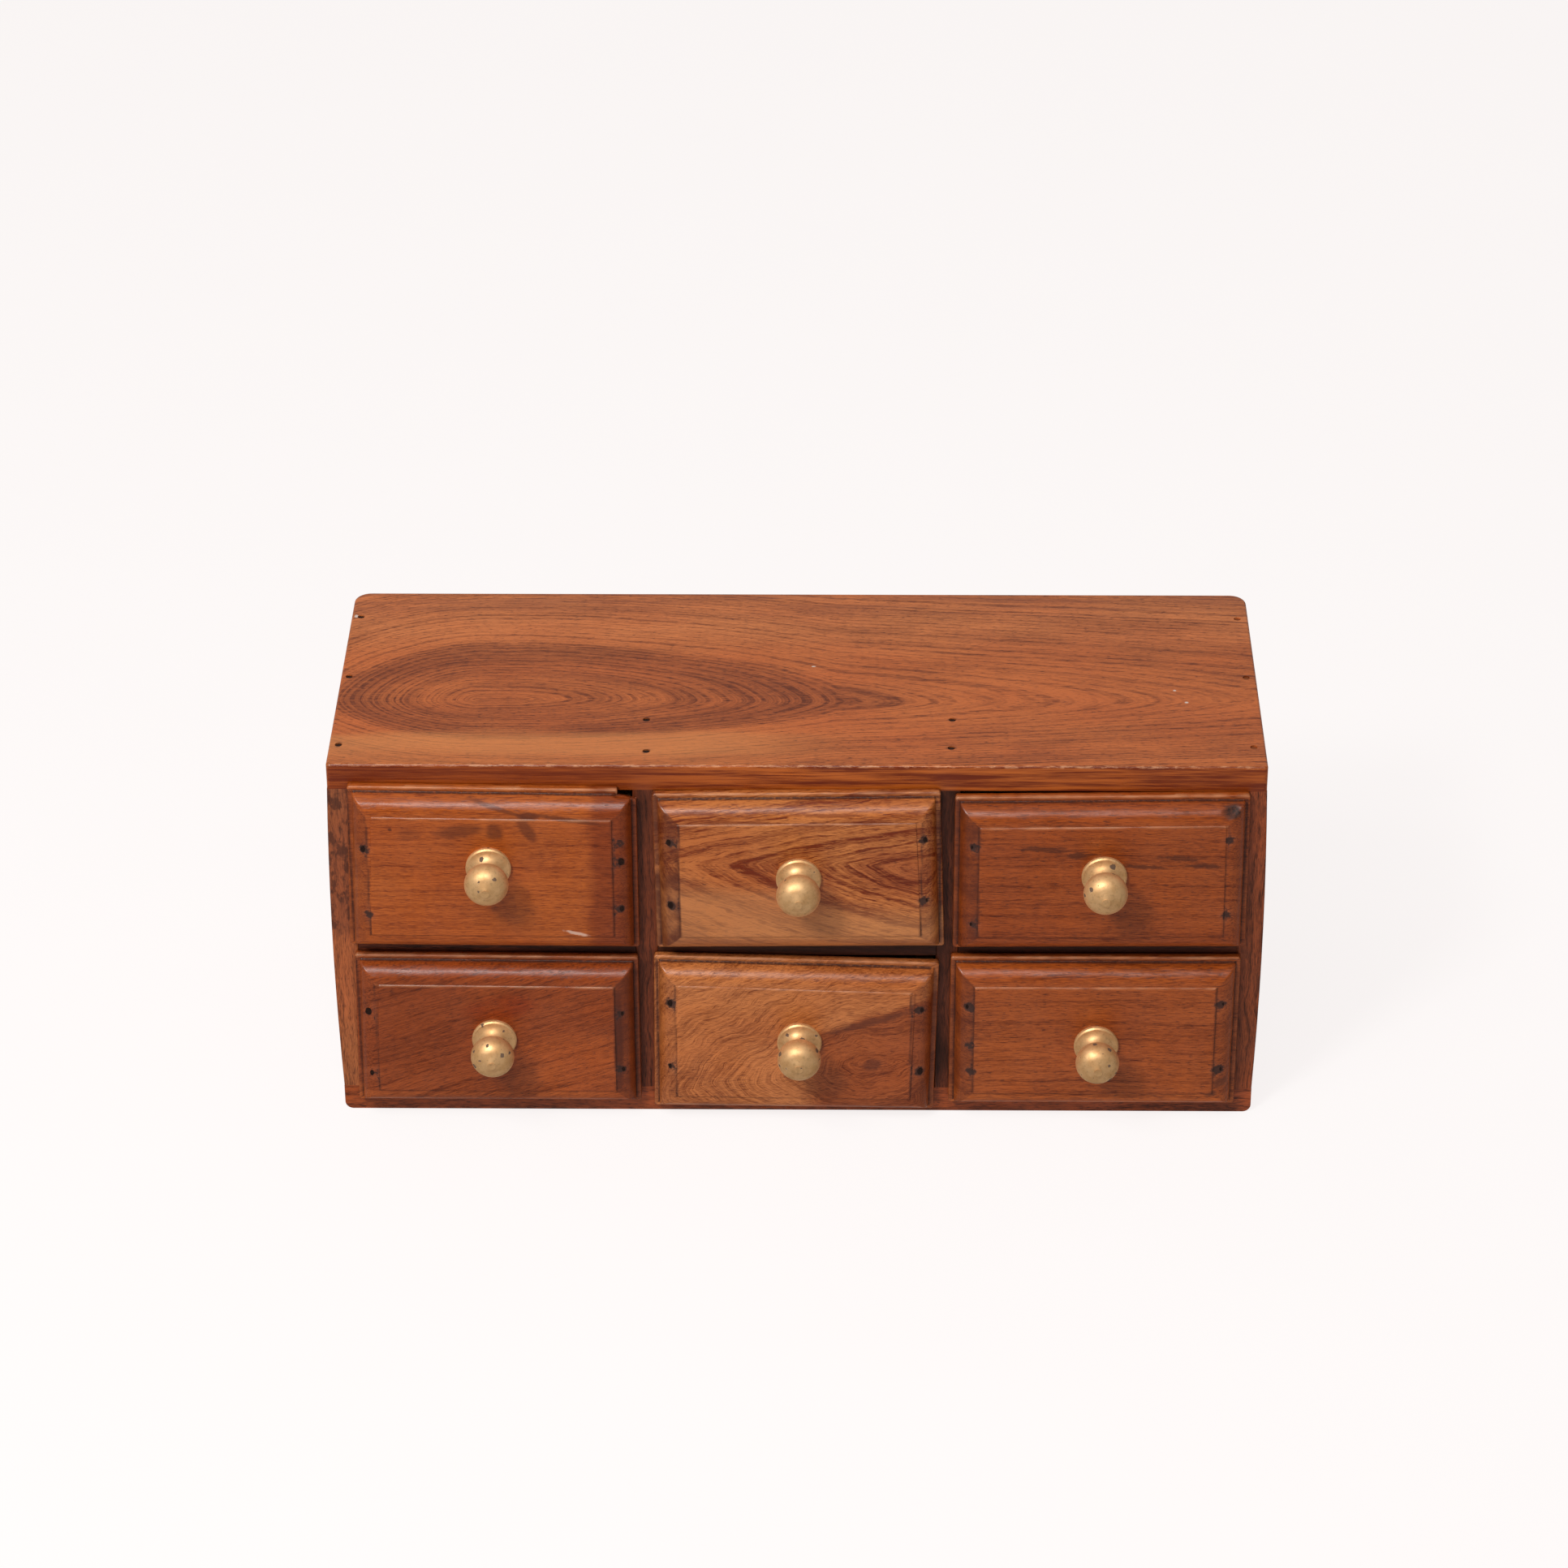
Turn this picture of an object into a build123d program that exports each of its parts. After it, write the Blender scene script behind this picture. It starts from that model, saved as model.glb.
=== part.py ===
from build123d import *

import os
from typing import NamedTuple

# A miniature hardwood chest with six drawers, in two rows of three.
#
# The carcass is a top and a bottom board nailed over two sides, with two upright dividers and one
# shelf that cross-halve into each other, and a thin back let in flush. Each drawer is a nailed box
# behind a lipped front with a quarter-round edge and a slightly raised field. A turned brass knob
# pulls it, held by a machine screw from inside.
#
# Frame: millimetres, +X to the right as seen from the front, +Y to the back, +Z up. The origin is
# the centre of the carcass's underside. Every board, nail, knob and screw is a solid of its own.

# ---- Carcass ----
WIDTH = 330.0  # over the top and bottom boards
DEPTH = 125.0  # of the carcass alone, without the drawer fronts
HEIGHT = 146.0
TOP_T = 10.0
BOTTOM_T = 10.0
SIDE_T = 8.0
DIVIDER_T = 8.0
SHELF_T = 10.0
BACK_T = 4.0
LOWER_BAY_H = 57.0
SIDE_CROWN = 1.2  # the sides' outer faces are planed slightly full at mid height
BACK_CORNER_R = 6.0  # upright corners, rounded through all the boards
FRONT_CORNER_R = 1.5
ARRIS_R = 1.0  # sanded edges of the top board
EASED_R = 0.5  # the lighter sanding of every board's front edges
LOWER_RIM_R = 3.0  # the bottom board, rounded underneath at its ends and back

# ---- Drawer boxes ----
SIDE_GAP = 0.9  # between a box and its bay, each side
FLOOR_GAP = 0.3
BOX_H = 54.0
BOX_DEPTH = 118.0
BOX_SIDE_T = 6.0
BOX_BOTTOM_T = 3.0
SHUT_GAP = 0.2  # between a front's lip and the carcass

# ---- Drawer fronts ----
LIP_T = 3.0
LIP_W = 1.8
LIP_CORNER_R = 1.0
LIP_ARRIS_R = 0.5
MOULD_H = 6.7  # the moulded body stands this far in front of the lip
MOULD_R = 6.5
FIELD_W = 8.5  # from a front's edge to its raised field
FIELD_H = 0.4
FRONT_T = LIP_T + MOULD_H + FIELD_H

# ---- Nails ----
NAIL_D = 1.5
NAIL_L = 24.0
NAIL_HEAD_D = 2.6
NAIL_HEAD_T = 0.8
NAIL_POINT_L = 2.5
NAIL_TIP_R = 0.1
NAIL_SUNK = 0.5  # heads are punched this far below the wood
BOX_NAIL_SUNK = 0.3
BOX_NAIL_IN = 12.0  # from a box wall's low and high edges to the nails in its back corners
BOX_UNDER_NAILS_Y = (-38.0, 3.0, 42.0)
PIN_D = 1.0
PIN_L = 12.0
PIN_HEAD_D = 1.8
PIN_Z = (28.0, 112.0)  # on the dividers

# ---- Knobs and their screws ----
KNOB_FLANGE_R = 8.0
KNOB_FLANGE_T = 1.6
KNOB_NECK_R = 3.7
KNOB_HEAD_R = 7.8
KNOB_HEAD_AT = 11.6  # the widest ring of the head, out from the field
KNOB_L = 18.1
KNOB_RIM = 0.5  # the bevel round the flange
KNOB_NECK_END = 5.4  # from the end of the neck to the head's widest ring
KNOB_SHOULDER_R = 4.6
KNOB_SHOULDER_L = 5.0  # from the head's widest ring to its shoulder
KNOB_TIP_R = 1.5  # a small nub left by the lathe
KNOB_TIP_L = 0.2
SCREW_D = 4.0
SCREW_HOLE_D = 4.4
SCREW_BITE = 6.0  # how far the screw reaches into the knob
SCREW_HEAD_D = 7.5
SCREW_HEAD_T = 2.4
SCREW_HEAD_ROUND = 0.9
SCREW_SLOT_W = 1.0
SCREW_SLOT_DEPTH = 1.1

# ---- Places that follow ----
FRONT_Y = -DEPTH / 2
BACK_Y = DEPTH / 2
INSIDE_X = WIDTH / 2 - SIDE_T
UNDER_TOP = HEIGHT - TOP_T
SHELF_Z = BOTTOM_T + LOWER_BAY_H
BAY_W = (2 * INSIDE_X - 2 * DIVIDER_T) / 3
BAY_PITCH = BAY_W + DIVIDER_T
DIVIDER_X = BAY_W / 2 + DIVIDER_T / 2
INSIDE_DEPTH = DEPTH - BACK_T
INSIDE_MID_Y = FRONT_Y + INSIDE_DEPTH / 2
BOX_W = BAY_W - 2 * SIDE_GAP
FIELD_Y = FRONT_Y - SHUT_GAP - FRONT_T

# ---- Nails through the carcass, as (x, y) ----
TOP_NAILS = [
    *[(-161.6, -48.8), (-162.0, -0.4), (-161.5, 44.0)],
    *[(160.8, -48.8), (161.4, 0.5), (161.0, 44.0)],
    *[(-52.9, -52.6), (-53.6, -30.6), (54.4, -49.9), (55.1, -30.2)],
]
BASE_NAILS = [(side * 161.0, y) for side in (-1, 1) for y in (-45.0, 0.0, 42.0)]
BASE_NAILS += [(side * DIVIDER_X, y) for side in (-1, 1) for y in (-45.0, 35.0)]
SHELF_NAILS_Y = (-35.0, 35.0)


class Front(NamedTuple):
    """One front, cut and nailed on by eye: its edges, knob and nails, as x and z.

    Its edges are given at both ends, because none is quite level or upright: the left and right
    ones at their low and high ends, the low and high ones at their left and right ends.
    """

    left: tuple
    right: tuple
    low: tuple
    high: tuple
    knob: tuple
    nails: list


FRONTS = {
    "top_left": Front(
        left=(-159.6, -157.5),
        right=(-56.2, -56.2),
        low=(73.2, 72.4),
        high=(139.0, 137.8),
        knob=(-108.4, 110.3),
        nails=[(-152.0, 117.0), (-151.4, 90.0), (-62.0, 112.0), (-62.4, 92.5)],
    ),
    "top_middle": Front(
        left=(-49.8, -50.7),
        right=(52.6, 50.5),
        low=(72.3, 73.4),
        high=(136.0, 137.3),
        knob=(0.8, 106.1),
        nails=[(-44.4, 120.0), (-44.2, 94.0), (44.6, 121.5), (45.0, 96.5)],
    ),
    "top_right": Front(
        left=(55.6, 55.6),
        right=(159.7, 158.9),
        low=(72.7, 73.5),
        high=(135.1, 136.5),
        knob=(108.3, 107.4),
        nails=[(62.6, 118.5), (62.6, 86.5), (151.7, 122.0), (151.7, 91.0)],
    ),
    "bottom_left": Front(
        left=(-159.5, -158.0),
        right=(-56.7, -56.7),
        low=(6.4, 6.2),
        high=(68.9, 68.0),
        knob=(-108.7, 37.7),
        nails=[(-153.5, 48.5), (-153.0, 22.0), (-63.4, 48.0), (-63.4, 24.0)],
    ),
    "bottom_middle": Front(
        left=(-52.0, -51.0),
        right=(49.3, 50.9),
        low=(4.2, 3.0),
        high=(68.9, 65.9),
        knob=(0.9, 36.8),
        nails=[(-45.0, 52.5), (-45.0, 25.5), (44.0, 50.0), (44.0, 23.5)],
    ),
    "bottom_right": Front(
        left=(54.9, 54.9),
        right=(158.4, 158.4),
        low=(5.8, 6.0),
        high=(68.6, 68.8),
        knob=(107.4, 35.9),
        nails=[(61.7, 51.5), (62.6, 24.0), (151.4, 53.0), (151.6, 25.0)],
    ),
}
COLUMN_X = {"left": -BAY_PITCH, "middle": 0.0, "right": BAY_PITCH}
ROW_FLOOR = {"bottom": BOTTOM_T + FLOOR_GAP, "top": SHELF_Z + SHELF_T + FLOOR_GAP}


# ---- Small helpers ----
def slab(x, y, z):
    """A board given by its (low, high) ends along each axis."""
    size = (x[1] - x[0], y[1] - y[0], z[1] - z[0])
    centre = ((x[0] + x[1]) / 2, (y[0] + y[1]) / 2, (z[0] + z[1]) / 2)
    return Pos(*centre) * Box(*size)


def upright_edges(shape, x_sign, y_sign):
    """The vertical edges in one corner of a board, seen from above."""
    return shape.edges().filter_by(Axis.Z).filter_by(
        lambda e: e.center().X * x_sign > 0 and (e.center().Y - INSIDE_MID_Y) * y_sign > 0
    )


def aimed(along):
    """The rotation that turns +Z to the named direction."""
    return {
        "+Z": Rot(0, 0, 0),
        "-Z": Rot(180, 0, 0),
        "+Y": Rot(-90, 0, 0),
        "-Y": Rot(90, 0, 0),
        "+X": Rot(0, 90, 0),
        "-X": Rot(0, -90, 0),
    }[along]


def driven(points, along, diameter=NAIL_D, length=NAIL_L, head=NAIL_HEAD_D):
    """Nails, one at each point, whose heads' tops are at the points and whose shanks run along."""
    shank = Pos(0, 0, (length - NAIL_POINT_L) / 2) * Cylinder(diameter / 2, length - NAIL_POINT_L)
    point = Pos(0, 0, length - NAIL_POINT_L / 2) * Cone(diameter / 2, NAIL_TIP_R, NAIL_POINT_L)
    cap = Pos(0, 0, NAIL_HEAD_T / 2) * Cylinder(head / 2, NAIL_HEAD_T)
    nail = shank + point + cap
    return [Pos(*p) * aimed(along) * nail for p in points]


def punched(points, along):
    """The round holes that the punch leaves above sunk heads, open at the wood's surface."""
    depth = 2.0
    hole = Pos(0, 0, -depth / 2) * Cylinder(NAIL_HEAD_D / 2, depth)
    return [Pos(*p) * aimed(along) * hole for p in points]


def eased(board):
    """The board with the long edges of its front face sanded round."""
    shortest = 20.0
    edges = board.edges().filter_by(
        lambda e: abs(e.center().Y - FRONT_Y) < 0.01 and e.length > shortest
    )
    return fillet(edges, EASED_R)


def bored(board, tools):
    """The board with every tool that meets it cut away."""
    for tool in tools:
        board = board - tool
    return board


# ---- Carcass boards ----
def top_blank():
    """The top board, with its upright corners and all its upper edges rounded."""
    board = slab((-WIDTH / 2, WIDTH / 2), (FRONT_Y, BACK_Y), (UNDER_TOP, HEIGHT))
    for x_sign in (-1, 1):
        board = fillet(upright_edges(board, x_sign, 1), BACK_CORNER_R)
        board = fillet(upright_edges(board, x_sign, -1), FRONT_CORNER_R)
    return fillet(board.faces().sort_by(Axis.Z)[-1].edges(), ARRIS_R)


def bottom_blank():
    """The bottom board, with its upright back corners and its underside's rim rounded."""
    board = slab((-WIDTH / 2, WIDTH / 2), (FRONT_Y, BACK_Y), (0, BOTTOM_T))
    for x_sign in (-1, 1):
        board = fillet(upright_edges(board, x_sign, 1), BACK_CORNER_R)
    rim = board.faces().sort_by(Axis.Z)[0].edges()
    return fillet(rim.filter_by(lambda e: e.center().Y > FRONT_Y + 0.1), LOWER_RIM_R)


def side_blank(hand):
    """A side, hand -1 on the left and 1 on the right, with a crowned outer face."""
    outer = hand * WIDTH / 2
    inner = hand * INSIDE_X
    mid_z = (BOTTOM_T + UNDER_TOP) / 2
    outline = [
        Line((inner, BOTTOM_T), (outer, BOTTOM_T)),
        ThreePointArc((outer, BOTTOM_T), (outer + hand * SIDE_CROWN, mid_z), (outer, UNDER_TOP)),
        Line((outer, UNDER_TOP), (inner, UNDER_TOP)),
        Line((inner, UNDER_TOP), (inner, BOTTOM_T)),
    ]
    board = extrude(Plane.XZ.offset(-BACK_Y) * make_face(outline), DEPTH)
    tall_back_edges = board.faces().sort_by(Axis.Y)[-1].edges().filter_by(
        lambda e: abs(e.center().X) > INSIDE_X + SIDE_T / 2 and e.length > LOWER_BAY_H
    )
    return eased(fillet(tall_back_edges, BACK_CORNER_R))


def divider_blank(x):
    """An upright divider, slotted from the back for the shelf."""
    board = slab(
        (x - DIVIDER_T / 2, x + DIVIDER_T / 2),
        (FRONT_Y, FRONT_Y + INSIDE_DEPTH),
        (BOTTOM_T, UNDER_TOP),
    )
    slot = slab((x - DIVIDER_T, x + DIVIDER_T), (INSIDE_MID_Y, BACK_Y), (SHELF_Z, SHELF_Z + SHELF_T))
    return eased(board - slot)


def shelf_blank():
    """The shelf, slotted from the front for both dividers."""
    board = slab(
        (-INSIDE_X, INSIDE_X), (FRONT_Y, FRONT_Y + INSIDE_DEPTH), (SHELF_Z, SHELF_Z + SHELF_T)
    )
    for x in (-DIVIDER_X, DIVIDER_X):
        board -= slab(
            (x - DIVIDER_T / 2, x + DIVIDER_T / 2),
            (FRONT_Y - 1, INSIDE_MID_Y),
            (SHELF_Z - 1, SHELF_Z + SHELF_T + 1),
        )
    return eased(board)


def carcass():
    """Every carcass node, by name."""
    shelf_mid = SHELF_Z + SHELF_T / 2
    sunk_x = WIDTH / 2 + SIDE_CROWN - NAIL_SUNK
    driven_from = {
        "-Z": [(x, y, HEIGHT - NAIL_SUNK) for x, y in TOP_NAILS],
        "+Z": [(x, y, NAIL_SUNK) for x, y in BASE_NAILS],
        "+X": [(-sunk_x, y, shelf_mid) for y in SHELF_NAILS_Y],
        "-X": [(sunk_x, y, shelf_mid) for y in SHELF_NAILS_Y],
    }
    nails = [nail for along, points in driven_from.items() for nail in driven(points, along)]
    holes = [hole for along, points in driven_from.items() for hole in punched(points, along)]
    pin_points = [(x, BACK_Y, z) for x in (-DIVIDER_X, DIVIDER_X) for z in PIN_Z]
    pin_points += [(x, BACK_Y, shelf_mid) for x in (-BAY_PITCH, 0.0, BAY_PITCH)]
    pins = driven(pin_points, "-Y", PIN_D, PIN_L, PIN_HEAD_D)
    panel = slab((-INSIDE_X, INSIDE_X), (BACK_Y - BACK_T, BACK_Y), (BOTTOM_T, UNDER_TOP))
    return {
        "top_board": bored(top_blank(), nails + holes),
        "bottom_board": bored(bottom_blank(), nails + holes),
        "left_side": bored(side_blank(-1), nails + holes),
        "right_side": bored(side_blank(1), nails + holes),
        "left_divider": bored(divider_blank(-DIVIDER_X), nails + pins),
        "right_divider": bored(divider_blank(DIVIDER_X), nails + pins),
        "shelf": bored(shelf_blank(), nails + pins),
        "back_panel": bored(panel, pins),
        "carcass_nails": Compound(nails),
        "back_panel_pins": Compound(pins),
    }


# ---- Drawers ----
def plate(corners, inset, y_from, thickness):
    """A flat four-cornered plate, inset from the corners' outline and grown towards the front."""
    (x0, z0), (x1, z1), (x2, z2), (x3, z3) = corners
    d = inset
    ring = [(x0 + d, z0 + d), (x1 - d, z1 + d), (x2 - d, z2 - d), (x3 + d, z3 - d)]
    face = make_face(Polyline(*ring, close=True))
    return extrude(Plane.XZ.offset(-y_from) * face, thickness)


def front_blank(fit):
    """A lipped front with its quarter-round edge and raised field."""
    low_corners = [(fit.left[0], fit.low[0]), (fit.right[0], fit.low[1])]
    high_corners = [(fit.right[1], fit.high[1]), (fit.left[1], fit.high[0])]
    corners = low_corners + high_corners
    y = FRONT_Y - SHUT_GAP
    lip = plate(corners, 0, y, LIP_T)
    lip = fillet(lip.edges().filter_by(Axis.Y), LIP_CORNER_R)
    lip = fillet(lip.faces().sort_by(Axis.Y)[0].edges(), LIP_ARRIS_R)
    body = plate(corners, LIP_W, y - LIP_T, MOULD_H)
    body = fillet(body.faces().sort_by(Axis.Y)[0].edges(), MOULD_R)
    field = plate(corners, FIELD_W, y - LIP_T - MOULD_H, FIELD_H)
    return lip + body + field


def chipped_lip(front, fit):
    """The front without the end of its top lip, which has split off along the grain."""
    length, drop, tilt = 6.8, 1.75, 12.0
    reach = 2 * (LIP_T + 2.0)
    tall = 6.0
    wedge = Box(2 * length, 2 * reach, tall, align=(Align.MIN, Align.CENTER, Align.MIN))
    place = Pos(fit.right[1] - length, FRONT_Y, fit.high[1] - drop) * Rot(0, tilt, 0)
    return front - place * wedge


def knotted_corner(front, fit):
    """The front with a loose knot gone from the moulding near its top right corner."""
    in_from_side, down_from_high, radius = 5.4, 2.6, 3.2
    centre = (fit.right[1] - in_from_side, FIELD_Y, fit.high[1] - down_from_high)
    return front - Pos(*centre) * Sphere(radius)


def knob_turning():
    """The brass knob, standing on the origin along +Z, with its screw hole."""
    flange_r, neck_r, head_r = KNOB_FLANGE_R, KNOB_NECK_R, KNOB_HEAD_R
    cove_r = flange_r - KNOB_RIM - neck_r
    neck_low = (neck_r, KNOB_FLANGE_T + cove_r)
    neck_high = (neck_r, KNOB_HEAD_AT - KNOB_NECK_END)
    widest = (head_r, KNOB_HEAD_AT)
    shoulder = (KNOB_SHOULDER_R, KNOB_HEAD_AT + KNOB_SHOULDER_L)
    tip = (KNOB_TIP_R, KNOB_L - KNOB_TIP_L)
    outline = [
        Line((0, 0), (flange_r, 0)),
        Line((flange_r, 0), (flange_r, KNOB_FLANGE_T - KNOB_RIM)),
        Line((flange_r, KNOB_FLANGE_T - KNOB_RIM), (flange_r - KNOB_RIM, KNOB_FLANGE_T)),
        TangentArc(neck_low, (flange_r - KNOB_RIM, KNOB_FLANGE_T), tangent=(0, -1)),
        Line(neck_low, neck_high),
        TangentArc(widest, neck_high, tangent=(0, -1)),
        TangentArc(widest, shoulder, tangent=(0, 1)),
        Line(shoulder, tip),
        Line(tip, (KNOB_TIP_R, KNOB_L)),
        Line((KNOB_TIP_R, KNOB_L), (0, KNOB_L)),
        Line((0, KNOB_L), (0, 0)),
    ]
    turned = revolve(Plane.XZ * make_face(outline), Axis.Z)
    hole_l = SCREW_BITE + 1
    return turned - Pos(0, 0, hole_l / 2) * Cylinder(SCREW_D / 2, hole_l)


def knob_screw():
    """A slotted pan-head machine screw whose seat is at the origin and whose shank runs along +Z."""
    shank_l = FRONT_T + SCREW_BITE
    shank = Pos(0, 0, shank_l / 2) * Cylinder(SCREW_D / 2, shank_l)
    head = Pos(0, 0, -SCREW_HEAD_T / 2) * Cylinder(SCREW_HEAD_D / 2, SCREW_HEAD_T)
    head = fillet(head.edges().sort_by(Axis.Z)[0], SCREW_HEAD_ROUND)
    slot = Pos(0, 0, -SCREW_HEAD_T) * Box(SCREW_HEAD_D, SCREW_SLOT_W, 2 * SCREW_SLOT_DEPTH)
    return shank + head - slot


def drawer(name, fit):
    """Every node of one drawer, by name."""
    row, column = name.split("_")
    mid_x, floor = COLUMN_X[column], ROW_FLOOR[row]
    box_front = FRONT_Y - SHUT_GAP
    box_back = box_front + BOX_DEPTH
    wall_low, wall_high = floor + BOX_BOTTOM_T, floor + BOX_H
    out_x, in_x = BOX_W / 2, BOX_W / 2 - BOX_SIDE_T
    wall_x = (out_x + in_x) / 2

    bottom = slab((mid_x - out_x, mid_x + out_x), (box_front, box_back), (floor, wall_low))
    left = slab((mid_x - out_x, mid_x - in_x), (box_front, box_back), (wall_low, wall_high))
    right = slab((mid_x + in_x, mid_x + out_x), (box_front, box_back), (wall_low, wall_high))
    back = slab((mid_x - in_x, mid_x + in_x), (box_back - BOX_SIDE_T, box_back), (wall_low, wall_high))
    front = front_blank(fit)
    if name == "top_left":
        front = chipped_lip(front, fit)
    if name == "top_right":
        front = knotted_corner(front, fit)

    rear_y = box_back - BOX_SIDE_T / 2
    rear_z = (wall_low + BOX_NAIL_IN, wall_high - BOX_NAIL_IN)
    sunk_x = out_x - BOX_NAIL_SUNK
    under_xy = [(mid_x + side * wall_x, y) for side in (-1, 1) for y in BOX_UNDER_NAILS_Y]
    driven_from = {
        "+Y": [(x, FIELD_Y + FIELD_H + NAIL_SUNK, z) for x, z in fit.nails],
        "+X": [(mid_x - sunk_x, rear_y, z) for z in rear_z],
        "-X": [(mid_x + sunk_x, rear_y, z) for z in rear_z],
        "+Z": [(x, y, floor + BOX_NAIL_SUNK) for x, y in under_xy],
    }
    nails = [nail for along, points in driven_from.items() for nail in driven(points, along)]
    holes = [hole for along, points in driven_from.items() for hole in punched(points, along)]

    knob_x, knob_z = fit.knob
    knob = Pos(knob_x, FIELD_Y, knob_z) * aimed("-Y") * knob_turning()
    screw = Pos(knob_x, box_front, knob_z) * aimed("-Y") * knob_screw()
    screw_hole = Pos(knob_x, box_front, knob_z) * aimed("-Y") * Cylinder(SCREW_HOLE_D / 2, 3 * FRONT_T)
    tools = nails + holes
    return {
        f"{name}_drawer_front": bored(front, tools + [screw_hole]),
        f"{name}_drawer_left_side": bored(left, tools),
        f"{name}_drawer_right_side": bored(right, tools),
        f"{name}_drawer_back": bored(back, tools),
        f"{name}_drawer_bottom": bored(bottom, tools),
        f"{name}_drawer_nails": Compound(nails),
        f"{name}_knob": knob,
        f"{name}_knob_screw": screw,
    }


def chest():
    """Every node of the chest, by name."""
    nodes = carcass()
    for name, fit in FRONTS.items():
        nodes.update(drawer(name, fit))
    return nodes


def main():
    os.makedirs("parts", exist_ok=True)
    for name, shape in chest().items():
        export_step(shape, f"parts/{name}.step")


if __name__ == "__main__":
    main()
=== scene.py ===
import math

import bpy
import numpy as np
from mathutils import Matrix, Vector, noise


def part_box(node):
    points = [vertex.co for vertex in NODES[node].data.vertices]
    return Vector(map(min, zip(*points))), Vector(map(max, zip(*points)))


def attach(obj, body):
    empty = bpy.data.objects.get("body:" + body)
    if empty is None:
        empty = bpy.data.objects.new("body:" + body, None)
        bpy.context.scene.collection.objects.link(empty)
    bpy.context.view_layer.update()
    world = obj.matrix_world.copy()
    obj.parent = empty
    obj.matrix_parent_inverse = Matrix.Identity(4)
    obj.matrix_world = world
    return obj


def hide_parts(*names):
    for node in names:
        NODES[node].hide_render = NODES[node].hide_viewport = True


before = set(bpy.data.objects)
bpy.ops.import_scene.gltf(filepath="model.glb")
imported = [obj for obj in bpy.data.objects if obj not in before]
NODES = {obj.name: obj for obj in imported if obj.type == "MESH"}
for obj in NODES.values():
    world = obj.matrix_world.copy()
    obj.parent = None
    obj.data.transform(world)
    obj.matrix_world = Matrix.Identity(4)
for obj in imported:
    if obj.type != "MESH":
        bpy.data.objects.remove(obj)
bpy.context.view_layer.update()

# The looks of a small hardwood chest of six drawers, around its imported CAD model. Lengths are in
# metres, except in names that end in _MM and inside the materials, which work in mm.

MM = 0.001
DRAWERS = [f"{row}_{column}" for row in ("top", "bottom") for column in ("left", "middle", "right")]

# ---- Camera, at the photograph's viewing angle ----
CAMERA_AT = Vector((0.01836, -1.55988, 1.03771))
CAMERA_YAW = math.radians(-0.869)
CAMERA_DOWN = math.radians(30.981)
CAMERA_ROLL = math.radians(0.275)
LENS_MM = 114.4
SENSOR_MM = 36.0

# ---- Drawer fronts: the profile from the edge inwards, as the CAD model has it ----
LIP_T = 3.0 * MM
LIP_W = 1.8 * MM
LIP_CORNER_R = 1.0 * MM
LIP_ARRIS_R = 0.5 * MM
MOULD_FOOT = 0.2 * MM  # the upright foot of the quarter round
MOULD_R = 6.5 * MM
FIELD_W = 8.5 * MM
FIELD_H = 0.4 * MM
STATION = 0.75 * MM  # spacing of the mesh along a front
STATION_PINCH = 0.0006  # how near a break its two stations lie, as a share of the edge
MOULD_STEPS = 16  # facets round the quarter round
SEED_STEP = 7.31  # how far apart in the noise two seeds lie


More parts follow.
